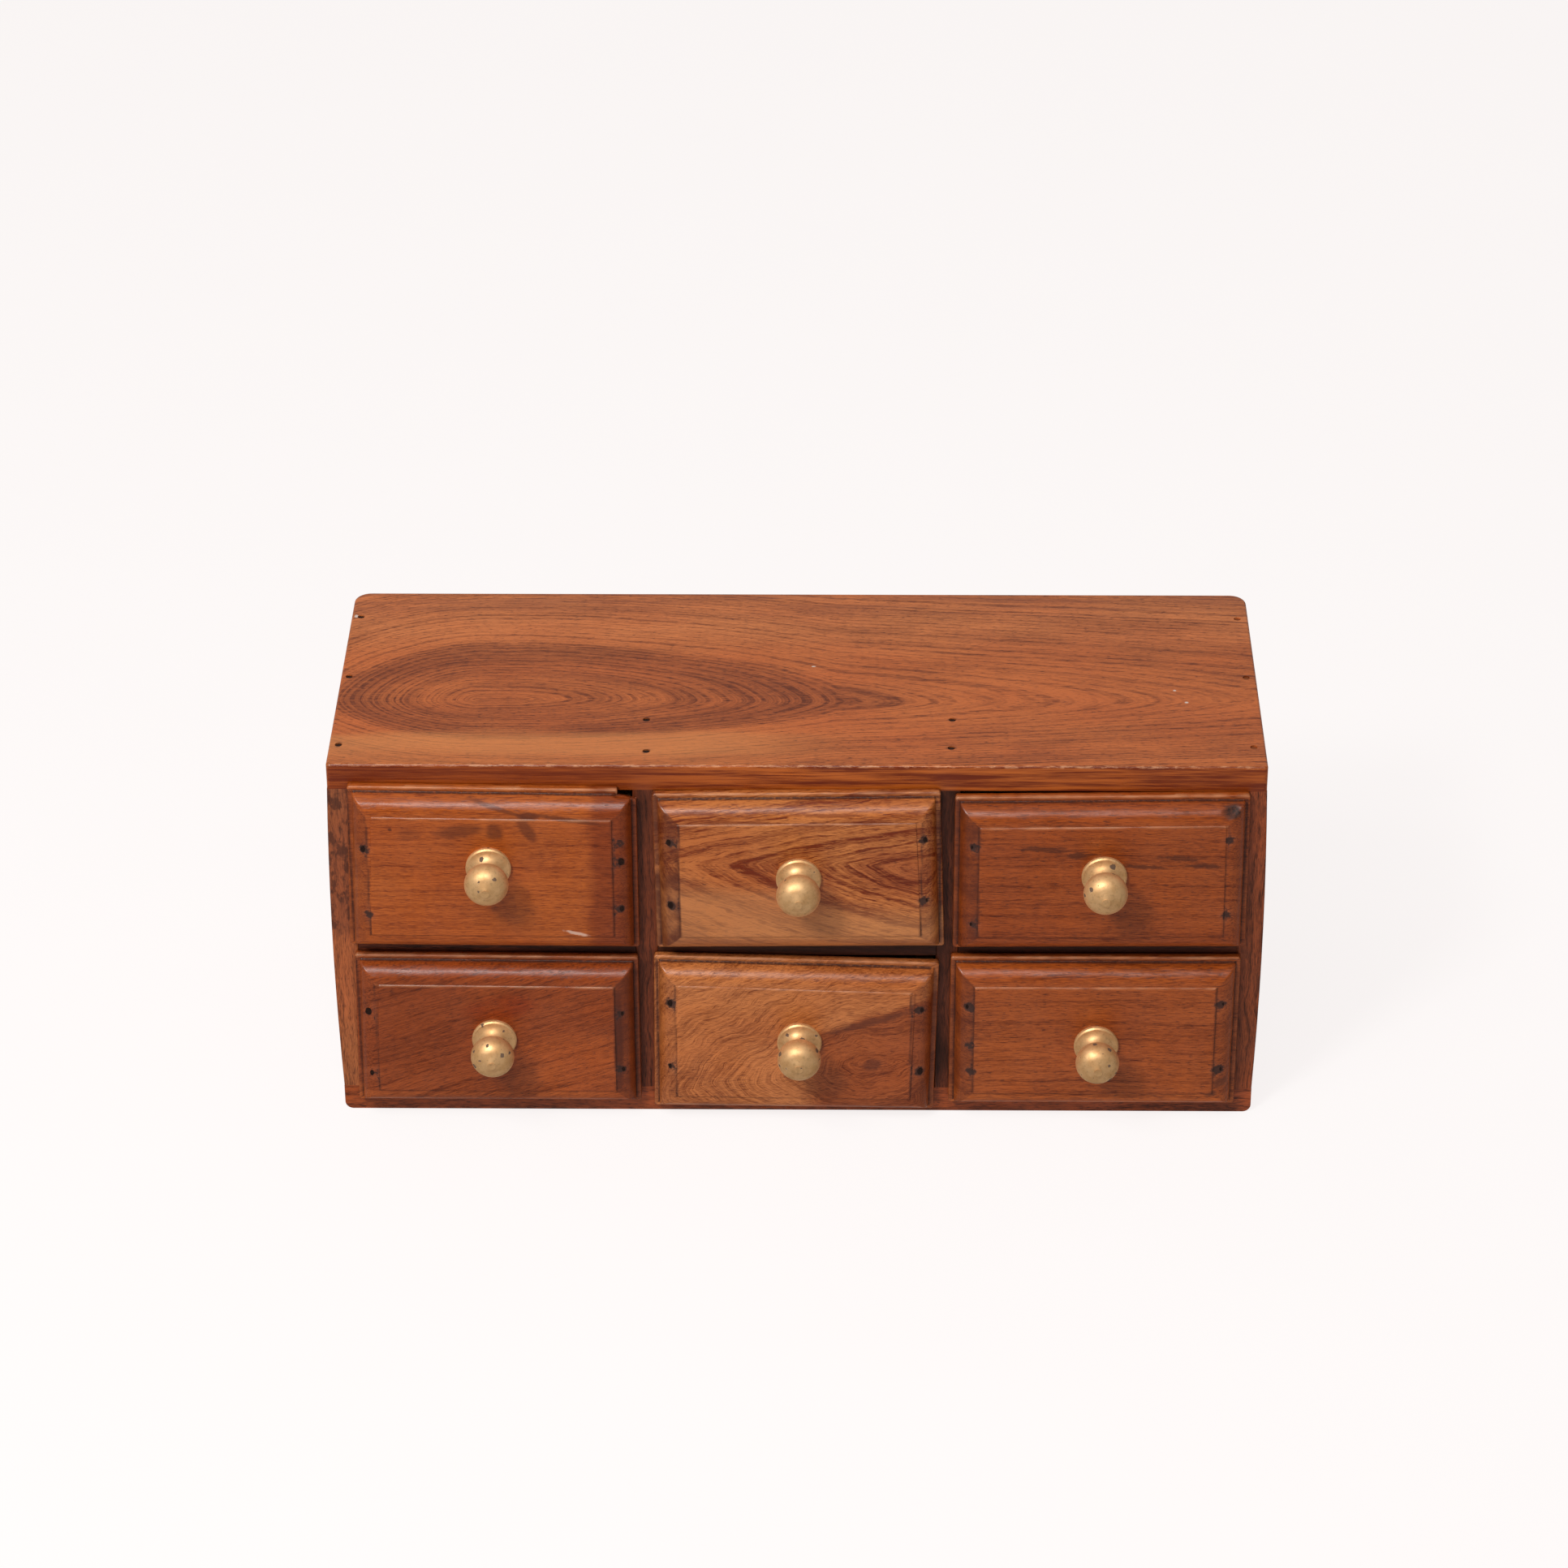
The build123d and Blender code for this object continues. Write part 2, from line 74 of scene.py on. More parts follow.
# ---- Node trees ----
class Tree:
    """A material's node tree, with short calls for the nodes that the finishes use."""

    def __init__(self, name):
        self.material = bpy.data.materials.new(name)
        self.material.use_nodes = True
        self.nodes = self.material.node_tree.nodes
        self.links = self.material.node_tree.links
        self.nodes.clear()

    def put(self, socket, value):
        if isinstance(value, bpy.types.NodeSocket):
            self.links.new(value, socket)
        elif value is not None:
            socket.default_value = value

    def node(self, kind, inputs=(), **settings):
        made = self.nodes.new(kind)
        for name, value in settings.items():
            setattr(made, name, value)
        for key, value in dict(inputs).items():
            self.put(made.inputs[key], value)
        return made

    def math(self, operation, a, b=None):
        return self.node("ShaderNodeMath", {0: a, 1: b}, operation=operation).outputs[0]

    def add(self, a, b):
        return self.math("ADD", a, b)

    def times(self, a, b):
        return self.math("MULTIPLY", a, b)

    def less(self, a, b):
        return self.math("SUBTRACT", a, b)

    def span(self, value, low, high, to_low=0.0, to_high=1.0, smooth=True):
        """value's place between low and high, clamped, as a number from to_low to to_high."""
        kind = "SMOOTHSTEP" if smooth else "LINEAR"
        inputs = enumerate((value, low, high, to_low, to_high))
        return self.node("ShaderNodeMapRange", inputs, interpolation_type=kind).outputs[0]

    def mix(self, factor, a, b, blend="MIX"):
        made = self.node("ShaderNodeMix", data_type="RGBA", blend_type=blend)
        self.put(made.inputs["Factor"], factor)
        for key, value in (("A", a), ("B", b)):
            socket = next(s for s in made.inputs if s.name == key and s.type == "RGBA")
            self.put(socket, (*value, 1.0) if isinstance(value, tuple) else value)
        return next(s for s in made.outputs if s.type == "RGBA")

    def millimetres(self):
        """The surface point in the row's frame, in mm."""
        where = self.node("ShaderNodeTexCoord").outputs["Object"]
        return self.scaled(where, (1000.0,) * 3)

    def scaled(self, vector, by):
        inputs = {0: vector, 1: by}
        return self.node("ShaderNodeVectorMath", inputs, operation="MULTIPLY").outputs[0]

    def moved(self, vector, by):
        inputs = {0: vector, 1: by}
        return self.node("ShaderNodeVectorMath", inputs, operation="ADD").outputs[0]

    def split(self, vector):
        return self.node("ShaderNodeSeparateXYZ", {0: vector}).outputs

    def joined(self, x, y, z):
        return self.node("ShaderNodeCombineXYZ", {0: x, 1: y, 2: z}).outputs[0]

    def noise(self, vector, size, detail, rough, seed):
        """Noise from 0 to 1 whose blobs are about size mm, one number or one for each axis."""
        per_axis = size if isinstance(size, tuple) else (size,) * 3
        at = self.moved(self.scaled(vector, tuple(1.0 / s for s in per_axis)), (seed, -seed, seed))
        inputs = {"Vector": at, "Scale": 1.0, "Detail": detail, "Roughness": rough}
        return self.node("ShaderNodeTexNoise", inputs).outputs[0]

    def sway(self, *where):
        """The same noise, about zero."""
        return self.less(self.noise(*where), 0.5)

    def noise_along(self, value, size, detail, rough, seed):
        """Noise from 0 to 1 along one number."""
        at = self.add(self.times(value, 1.0 / size), seed)
        inputs = {"W": at, "Scale": 1.0, "Detail": detail, "Roughness": rough}
        return self.node("ShaderNodeTexNoise", inputs, noise_dimensions="1D").outputs[0]

    def ramp(self, value, stops):
        """A number read off a curve through (place, number) stops, both from 0 to 1."""
        made = self.node("ShaderNodeValToRGB", {"Fac": value})
        steps = made.color_ramp.elements
        steps[0].position, steps[1].position = stops[0][0], stops[-1][0]
        for step, (_, number) in ((steps[0], stops[0]), (steps[1], stops[-1])):
            step.color = (number, number, number, 1.0)
        for place, number in stops[1:-1]:
            steps.new(place).color = (number, number, number, 1.0)
        return made.outputs["Color"]

    def attribute(self, name):
        return self.node("ShaderNodeAttribute", attribute_name=name).outputs["Fac"]

    def bump(self, height_mm, strength):
        """Relief from a height in mm."""
        inputs = {"Strength": strength, "Distance": MM, "Height": height_mm}
        return self.node("ShaderNodeBump", inputs).outputs[0]

    def finish(self, **sockets):
        shader = self.node("ShaderNodeBsdfPrincipled")
        for name, value in sockets.items():
            self.put(shader.inputs[name.replace("_", " ")], value)
        out = self.node("ShaderNodeOutputMaterial")
        self.links.new(shader.outputs[0], out.inputs[0])
        return self.material


def srgb(knob_reflection, green, blue):
    """A colour given in display values from 0 to 255, as the linear values that shaders take."""
    linear = []
    for value in (knob_reflection, green, blue):
        v = value / 255.0
        linear.append(v / 12.92 if v <= 0.04045 else ((v + 0.055) / 1.055) ** 2.4)
    return tuple(linear)


# ---- Wood ----
AXES = {"xy": (0, 1, 2), "xz": (0, 2, 1), "yz": (1, 2, 0), "zx": (2, 0, 1)}


def board_plane(tree, point, plane, centre, turn):
    """The point as (along the grain, across it, depth), from centre, turned in the plane."""
    where = tree.split(point)
    first, second, third = (where[axis] for axis in AXES[plane])
    u, v = tree.less(first, centre[0]), tree.less(second, centre[1])
    depth = tree.less(third, centre[2]) if len(centre) > 2 else third
    c, s = math.cos(math.radians(turn)), math.sin(math.radians(turn))
    along = tree.add(tree.times(u, c), tree.times(v, s))
    across = tree.less(tree.times(v, c), tree.times(u, s))
    return along, across, depth


def choose(tree, test, when, otherwise):
    return tree.add(tree.times(test, tree.less(when, otherwise)), otherwise)


def ring_radius(tree, along, across, depth, look, point):
    """How far out the growth ring at a point is, in mm measured straight across the grain.

    The rings are ovals: spread says how many mm one mm of radius takes to the left, to the right,
    below and above. core keeps the middle of the left side open, tail slows the rings far right.
    """
    left, right, low, high = look["spread"]
    slow = tree.sway(point, look["warp_size"], 2.0, 0.5, look["seed"])
    quick = tree.sway(point, RIPPLE_MM, 2.0, 0.5, look["seed"] + 3.0)
    across = tree.add(across, tree.times(slow, look["warp"]))
    across = tree.add(across, tree.times(quick, look["ripple"]))
    reach = tree.math("ABSOLUTE", along)
    back = tree.times(tree.math("MAXIMUM", tree.less(reach, look["core"]), 0.0), 1.0 / left)
    start, slope = look["tail"]
    slowed = tree.add(tree.times(reach, slope), start)
    on = tree.math("MINIMUM", tree.times(reach, 1.0 / right), slowed)
    u = choose(tree, tree.math("LESS_THAN", along, 0.0), back, on)
    beside = tree.math("ABSOLUTE", across)
    under = tree.math("LESS_THAN", across, 0.0)
    v = choose(tree, under, tree.times(beside, 1.0 / low), tree.times(beside, 1.0 / high))
    power = look["pointed"]
    total = tree.add(tree.math("POWER", u, power), tree.math("POWER", v, power))
    return tree.add(tree.math("POWER", total, 1.0 / power), tree.times(depth, look["lean"]))


# Sizes of the wood's pattern along the grain, across it and in depth, in mm
STREAK_MM = (38.0, 1.3, 6.0)
FLECK_MM = (2.8, 0.32, 0.5)
FIBRE_MM = (6.5, 0.24, 0.4)
CLOUD_MM = (40.0, 15.0, 30.0)
BREAK_MM = (10.0, 1.2, 2.0)
BLUSH_MM = (60.0, 30.0, 40.0)
SHORT_PORE_MM = (2.4, 0.38, 0.5)
LONG_PORE_MM = (5.5, 0.44, 0.6)
SANDING_MM = (9.0, 0.8, 1.2)
RIPPLE_MM = (16.0, 6.0, 6.0)  # across the board's own axes
PEEL_MM = 2.6  # the lacquer's orange peel

BLUSH_SHARE = 0.4
CLOUD = 0.8  # how far the clouds shift the wood's darkness
PORE = 0.8  # how dark a pore gets
RING_SCALE = 0.01  # ring radius in mm to a place on the tone curve
PEEL_DEPTH_MM = 0.05
SANDING_DEPTH_MM = 0.022
PORE_DEPTH_MM = 0.02
LACQUER_IOR = 1.48

WOOD = dict(
    plane="xy",  # the board's face, with the grain along its first axis
    centre=(0.0, -200.0, 0.0),  # the growth rings' centre, along the grain, across it, in depth
    turn=0.0,  # degrees between the grain and the plane's first axis
    spread=(14.0, 14.0, 1.0, 1.0),  # for this, core and tail, see ring_radius
    core=0.0,
    tail=(1000.0, 0.0),
    pointed=2.0,  # 2 makes oval rings, less makes their ends pointed
    lean=0.6,  # mm of radius for each mm of depth
    warp_size=(80.0, 26.0, 26.0),
    warp=7.0,  # mm that the rings wander slowly, and quickly (ripple)
    ripple=0.8,
    tone=((0.0, 0.3), (1.0, 0.3)),  # darkness along the radius
    ring=1.8,  # mm between rings
    band=0.7,  # how strongly bands, ring lines, soft streaks and fine grain show
    line=0.5,
    soft=1.3,
    grain=1.8,
    light=srgb(196, 112, 62),
    dark=srgb(110, 50, 26),
    deep=srgb(76, 30, 14),  # in the pores
    blush=srgb(180, 84, 40),  # patches of a redder tone
    seed=0.0,
)


def wood_darkness(tree, look, radius, broken, grain, flow):
    """How dark the wood is, 0 to about 1, from its rings, lines, streaks, clouds and fibres."""
    seed = look["seed"]
    shade = tree.ramp(tree.times(radius, RING_SCALE), look["tone"])
    bands = tree.less(tree.noise_along(radius, look["ring"] * 5.0, 2.0, 0.5, seed), 0.5)
    lines = tree.span(tree.noise_along(radius, look["ring"], 2.0, 0.6, seed + 7.0), 0.46, 0.64)
    soft = tree.sway(flow, STREAK_MM, 4.0, 0.62, seed + 13.0)
    cloud = tree.sway(grain, CLOUD_MM, 2.0, 0.5, seed + 14.0)
    fleck = tree.sway(grain, FLECK_MM, 2.0, 0.6, seed + 15.0)
    fibre = tree.sway(flow, FIBRE_MM, 1.0, 0.5, seed + 16.0)
    parts = (
        (bands, look["band"]), (tree.times(lines, broken), look["line"]), (soft, look["soft"]),
        (cloud, CLOUD), (tree.add(fleck, fibre), look["grain"]),
    )
    for part, share in parts:
        shade = tree.add(shade, tree.times(part, share))
    return shade


def wood_pores(tree, grain, seed, darkness, broken):
    """1 in an open pore. There are more of them in the dark wood and along the rings."""
    short = tree.noise(grain, SHORT_PORE_MM, 1.0, 0.5, seed + 23.0)
    long = tree.noise(grain, LONG_PORE_MM, 1.0, 0.5, seed + 25.0)
    where = tree.add(tree.times(darkness, 0.5), tree.add(tree.times(broken, 0.45), 0.2))
    pores = tree.add(tree.span(short, 0.58, 0.68), tree.span(long, 0.64, 0.70, 0.0, 0.7))
    return tree.math("MINIMUM", tree.times(pores, where), 1.0)


def lacquer(tree, point, grain, pores, seed):
    """The lacquer's relief in mm and its roughness, duller over filler and in a hollow."""
    peel = tree.noise(point, PEEL_MM, 2.0, 0.5, seed + 31.0)
    sand = tree.noise(grain, SANDING_MM, 2.0, 0.5, seed + 37.0)
    relief = tree.add(tree.times(peel, PEEL_DEPTH_MM), tree.times(sand, SANDING_DEPTH_MM))
    relief = tree.less(relief, tree.times(pores, PORE_DEPTH_MM))
    patch = tree.noise(point, 14.0, 3.0, 0.6, seed + 41.0)
    roughness = tree.add(tree.span(patch, 0.3, 0.7, 0.27, 0.37, False), tree.times(pores, 0.1))
    dull = tree.math("MAXIMUM", tree.attribute("filler"), tree.attribute("hollow"))
    return relief, tree.add(roughness, tree.times(dull, 0.35))


def wood(name, extra=None, **changes):
    """A lacquered hardwood board. extra(tree, point, colour) may paint more on the colour."""
    look = dict(WOOD, **changes)
    seed = look["seed"]
    tree = Tree(name)
    point = tree.millimetres()
    along, across, depth = board_plane(tree, point, look["plane"], look["centre"], look["turn"])
    radius = ring_radius(tree, along, across, depth, look, point)
    grain = tree.joined(along, across, depth)
    flow = tree.joined(along, radius, depth)

    breaks = tree.noise(grain, BREAK_MM, 3.0, 0.6, seed + 9.0)
    broken = tree.span(breaks, 0.36, 0.62, 0.15, 1.0)
    darkness = wood_darkness(tree, look, radius, broken, grain, flow)
    redder = tree.noise(grain, BLUSH_MM, 3.0, 0.5, seed + 17.0)
    blush = tree.span(redder, 0.36, 0.66, 0.0, BLUSH_SHARE)
    colour = tree.mix(blush, look["light"], look["blush"])
    colour = tree.mix(tree.span(darkness, 0.0, 1.2, 0.0, 1.0, False), colour, look["dark"])
    pores = wood_pores(tree, grain, seed, darkness, broken)
    colour = tree.mix(tree.times(pores, PORE), colour, look["deep"])
    if extra:
        colour = extra(tree, point, colour)
    relief, roughness = lacquer(tree, point, grain, pores, seed)
    return tree.finish(
        Base_Color=colour, Roughness=roughness, Normal=tree.bump(relief, 0.8), IOR=LACQUER_IOR
    )


def smudge(tree, point, plane, at, size, turn, ragged, seed):
    """1 inside an oval stain, fading raggedly to 0 outside it."""
    along, across, _ = board_plane(tree, point, plane, at, turn)
    u, v = tree.math("DIVIDE", along, size[0]), tree.math("DIVIDE", across, size[1])
    reach = tree.math("SQRT", tree.add(tree.times(u, u), tree.times(v, v)))
    fine = min(size) * 0.8
    grit = tree.noise(point, (fine * 3.0, fine, fine), 3.0, 0.65, seed)
    reach = tree.add(reach, tree.times(tree.less(grit, 0.5), ragged * 2.0))
    return tree.span(reach, 1.25, 0.55)


def blend_in(tree, colour, mask, share, paint):
    return tree.mix(tree.times(mask, share), colour, paint)


def stained(tree, colour, mask, tint):
    """Multiplies the colour by tint inside the mask, so that the grain still shows."""
    return tree.mix(mask, colour, tree.mix(1.0, colour, tint, "MULTIPLY"))


# ---- Boards of the carcass ----
FILLER = srgb(52, 30, 24)
# Painted highlight colour, for the arrises where the lamps catch them.
ARRIS_HIGHLIGHT = srgb(222, 158, 112)
PALE = srgb(214, 198, 186)
SHEEN_GRADIENT_TINT = (0.86, 0.72, 0.56)  # the front half's browner tone; the back half is left lighter, a painted sheen standing for light mirrored from behind
FRONT_FACE = (-61.4, -62.4)  # y where the top's upper face gives way to its front edge
TOP_ARRIS = (144.9, 145.5)  # z where that edge gives way to its arris
STAINED_NAILS = ((54.4, -49.9), (55.1, -30.2), (-52.9, -52.6), (-53.6, -30.6), (-161.6, -48.8))
PALE_SPECKS = (
    ((138.9, -17.5), (0.7, 0.6)), ((135.1, -9.0), (0.6, 0.5)),
    ((5.5, 7.8), (0.8, 0.4)), ((-163.3, 44.3), (0.7, 1.2)),
)


def top_front_edge(tree, point, colour):
    """The yellower, streaked wood of the top's front edge, and a painted highlight along its arris.
    """
    x, y, z = tree.split(point)
    streak = tree.span(tree.noise(point, (34.0, 1.0, 1.2), 4.0, 0.65, 8.0), 0.36, 0.64)
    middle = tree.times(tree.span(x, -80.0, 0.0), tree.span(x, 170.0, 60.0, 0.4, 1.0))
    light = tree.mix(middle, srgb(148, 66, 12), srgb(176, 88, 24))
    edge = tree.mix(streak, light, srgb(104, 34, 3))
    colour = tree.mix(tree.span(y, *FRONT_FACE), colour, edge)
    # Painted highlight: a broken light line along the top's front arris.
    highlight_band = tree.times(tree.span(z, *TOP_ARRIS), tree.span(y, -61.4, -62.0))
    highlight_breakup = tree.span(tree.noise(point, (4.0, 1.0, 1.0), 4.0, 0.75, 12.0), 0.45, 0.64)
    return tree.mix(tree.times(tree.times(highlight_band, highlight_breakup), 0.5), colour, ARRIS_HIGHLIGHT)


def top_marks(tree, point, colour):
    """The top board's golden strip, its browner front below a painted sheen on its back half, its
    front edge with a painted highlight along its arris, nail stains and specks.
    """
    x, y, _ = tree.split(point)
    drift = tree.times(tree.sway(point, (50.0, 8.0, 9.0), 2.0, 0.5, 6.0), 12.0)
    y_now = tree.add(y, drift)
    # Painted sheen: the top is tinted browner towards the front, so that its back half shows
    # lighter, like light mirrored from behind.
    painted_sheen = tree.mix(tree.span(y_now, 8.0, 44.0), SHEEN_GRADIENT_TINT, (1.0, 1.0, 1.0))
    colour = tree.mix(1.0, colour, painted_sheen, "MULTIPLY")
    gold = tree.times(tree.span(y_now, -37.0, -44.0), tree.span(x, 30.0, -40.0))
    gold = tree.times(gold, tree.span(y_now, -60.0, -50.0, 0.35, 1.0))
    colour = blend_in(tree, colour, gold, 0.4, srgb(214, 140, 80))
    back_streak = tree.noise(point, (70.0, 3.0, 9.0), 3.0, 0.6, 5.0)
    back = tree.times(tree.span(y, 38.0, 60.0), tree.span(back_streak, 0.42, 0.6))
    colour = blend_in(tree, colour, back, 0.4, srgb(120, 62, 42))
    colour = top_front_edge(tree, point, colour)
    for i, at in enumerate(STAINED_NAILS):
        halo = smudge(tree, point, "xy", at, (1.9, 1.2), 20.0 * i, 0.7, 30.0 + i)
        colour = blend_in(tree, colour, halo, 0.6, srgb(72, 34, 24))
    for i, (at, size) in enumerate(PALE_SPECKS):
        speck = smudge(tree, point, "xy", at, size, 0.0, 0.4, 20.0 + i)
        colour = blend_in(tree, colour, speck, 0.9, PALE)
    return colour


def left_side_marks(tree, point, colour):
    """The darker, wavy figure on the upper part of the side's front edge."""
    x, y, z = tree.split(point)
    upper = tree.times(tree.span(z, 70.0, 80.0), tree.span(y, -52.0, -60.0))
    wave = tree.noise(tree.joined(x, tree.times(y, 0.5), z), (3.0, 9.0, 5.0), 3.0, 0.6, 5.0)
    dark = tree.times(upper, tree.span(wave, 0.46, 0.60))
    colour = blend_in(tree, colour, upper, 0.45, srgb(104, 52, 34))
    return blend_in(tree, colour, dark, 0.7, srgb(62, 32, 24))


TOP_TONE = (
    (0.00, 0.42), (0.05, 0.34), (0.09, 0.46), (0.105, 0.62), (0.12, 0.34), (0.17, 0.28),
    (0.195, 0.66), (0.22, 0.48), (0.30, 0.60), (0.375, 0.66), (0.40, 0.40), (0.44, 0.18),
    (0.52, 0.12), (0.62, 0.30), (1.00, 0.34),
)

CARCASS_LOOKS = {
    "top_board": dict(
        extra=top_marks, centre=(-100.0, -17.0, 146.0), spread=(1.25, 2.9, 0.66, 1.0), core=15.0,
        tail=(27.4, 0.104), pointed=1.7, warp=3.5, ripple=1.0, tone=TOP_TONE, ring=1.4, lean=0.3,
        band=0.5, line=0.7, soft=0.9, grain=1.0, light=srgb(211, 123, 67), dark=srgb(116, 53, 17),
        blush=srgb(201, 105, 53), seed=2.0,
    ),
    "bottom_board": dict(
        centre=(40.0, -150.0, 0.0), light=srgb(150, 68, 22), dark=srgb(80, 32, 12), seed=4.0
    ),
    "left_side": dict(
        extra=left_side_marks, plane="zx", centre=(60.0, -300.0, -165.0),
        light=srgb(174, 98, 50), dark=srgb(98, 48, 22), seed=6.0,
    ),
    "right_side": dict(
        plane="zx", centre=(80.0, 300.0, 165.0),
        light=srgb(134, 64, 28), dark=srgb(70, 32, 16), seed=8.0,
    ),
    # Painted shade: the divider boards get near-black wood, standing for the deep shade of the gaps
    # they are seen in.
    "dividers": dict(
        plane="zx", centre=(70.0, 200.0, 0.0),
        light=srgb(50, 23, 11), dark=srgb(28, 13, 8), seed=10.0,
    ),
    # Painted shade: the shelf's dark wood stands for the shadow under the top row's fronts.
    "shelf": dict(
        centre=(30.0, -200.0, 72.0), light=srgb(74, 36, 22), dark=srgb(44, 22, 15), seed=12.0
    ),
    "back_panel": dict(
        plane="xz", centre=(-40.0, 40.0, 62.0), spread=(3.0, 4.0, 1.0, 1.0),
        light=srgb(180, 112, 68), dark=srgb(112, 62, 38), seed=14.0,
    ),
}


def carcass_woods():
    """Every carcass board's material, by node."""
    woods = {board: wood(f"wood_{board}", **look) for board, look in CARCASS_LOOKS.items()}
    woods["left_divider"] = woods["right_divider"] = woods.pop("dividers")
    return woods


# ---- Drawer fronts ----
CORNER_CUT = 1 - math.sqrt(0.5)  # how much of its radius a rounded corner takes off each side
BACK_ARRIS = 0.25 * MM
EDGE_DRIFT = (0.16 * MM, 0.05 * MM)  # how far an edge wanders, slowly and quickly
FACE_SWELL = (0.05 * MM, 0.10 * MM)  # how uneven the face is, from spot to spot and over all

CHIPPED = "top_left"  # this drawer's lip is broken off at the high right corner
CHIP_W = 6.8 * MM
CHIP_H = 2.0 * MM  # how far past the lip's face the break reaches
CHIP_DROP = 1.9 * MM
CHIP_SLOPE = 0.25
CHIP_BEVEL = 0.4
CHIP_ROUGH = 0.2 * MM

HOLLOWED = "top_right"  # this drawer has a knot hole at the high right corner
HOLLOW_IN = (5.4 * MM, 4.2 * MM)  # its place, in from that corner
HOLLOW_DEPTH = 1.4 * MM

HEAD_REACH = 4 * MM  # vertices within this of each other belong to one nail's head
MARK_DEPTH = 0.25 * MM
MARK_REACH = 12 * MM  # how far along x a nail mark's smear can be from its nail
EXTRA_MARKS_MM = {"top_left": [(-62.0, 119.5)], "bottom_right": [(62.0, 35.0)]}
FAINT_SIDE = "bottom_left"  # this drawer's left nail marks are fainter
FAINT = 0.62

NEAR_FACE = 9 * MM  # what is higher than this is the field or the crest beside it

# How dark the end grain is on the left and right moulding of each front
END_SHADE = {
    "top_left": (1.0, 0.3), "top_middle": (1.8, 0.5), "top_right": (1.6, 0.15),
    "bottom_left": (0.15, 1.4), "bottom_middle": (0.7, 0.8), "bottom_right": (1.3, 0.4),
}


def outline_of(drawer):
    """A front's back face: its corners as (x, z), from the low left one round, and its y."""
    points = np.array([v.co for v in NODES[f"{drawer}_drawer_front"].data.vertices], float)
    back_y = points[:, 1].max()
    rim = points[points[:, 1] > back_y - 0.1 * MM][:, [0, 2]]
    rounded_off = LIP_CORNER_R * CORNER_CUT
    corners = []
    for sx, sz in ((-1, -1), (1, -1), (1, 1), (-1, 1)):
        furthest = rim[np.argmax(rim @ np.array((sx, sz)))]
        corners.append((furthest[0] + sx * rounded_off, furthest[1] + sz * rounded_off))
    if drawer == CHIPPED:
        brink = rim[np.argmax(rim @ np.array((0.1, 1.0)))]
        slope = (brink[1] - corners[3][1]) / (brink[0] - corners[3][0])
        corners[2] = (corners[1][0], brink[1] + slope * (corners[1][0] - brink[0]))
    return corners, back_y


def front_profile():
    """(inset, height) down a front's edge, from its back face to the start of the field."""
    points = [(BACK_ARRIS, 0.0), (0.0, BACK_ARRIS), (0.0, 1.2 * MM), (0.0, 2.0 * MM)]
    points.append((0.0, LIP_T - LIP_ARRIS_R))
    for step in (1, 2, 3):
        turn = math.radians(30 * step)
        inset = LIP_ARRIS_R * (1 - math.cos(turn))
        points.append((inset, LIP_T - LIP_ARRIS_R * (1 - math.sin(turn))))
    points += [(1.1 * MM, LIP_T), (LIP_W - 0.15 * MM, LIP_T), (LIP_W, LIP_T + 0.1 * MM)]
    foot = LIP_T + MOULD_FOOT
    for step in range(MOULD_STEPS + 1):
        turn = math.radians(90 * step / MOULD_STEPS)
        points.append((LIP_W + MOULD_R * (1 - math.cos(turn)), foot + MOULD_R * math.sin(turn)))
    crest = foot + MOULD_R
    points += [(FIELD_W, crest), (FIELD_W + 0.06 * MM, crest + FIELD_H * 0.75)]
    return points + [(FIELD_W + 0.25 * MM, crest + FIELD_H), (FIELD_W + 0.9 * MM, crest + FIELD_H)]


def nail_marks(drawer):
    """Where a drawer's nails enter its front, as (x, z), read from the CAD nails."""
    points = np.array([v.co for v in NODES[f"{drawer}_drawer_nails"].data.vertices], float)
    heads = points[points[:, 1] < points[:, 1].min() + 0.1 * MM]
    nails = []
    for x, _, z in heads:
        near = [n for n in nails if math.hypot(x - n[0][0], z - n[0][1]) <= HEAD_REACH]
        if near:
            near[0].append((x, z))
        else:
            nails.append([(x, z)])
    return [tuple(np.mean(nail, axis=0)) for nail in nails]


def rough(x, z, size, seed):
    """Smooth noise from -1 to 1 over a front's face."""
    return noise.noise(Vector((x / size, seed * SEED_STEP, z / size)))


def stations(length, extra=()):
    """Places along an edge from 0 to 1, evenly spaced, with two more at each extra place."""
    count = max(8, round(length / STATION))
    places = {i / count for i in range(count + 1)}
    for place in extra:
        places |= {place - STATION_PINCH, place + STATION_PINCH}
    return sorted(places)


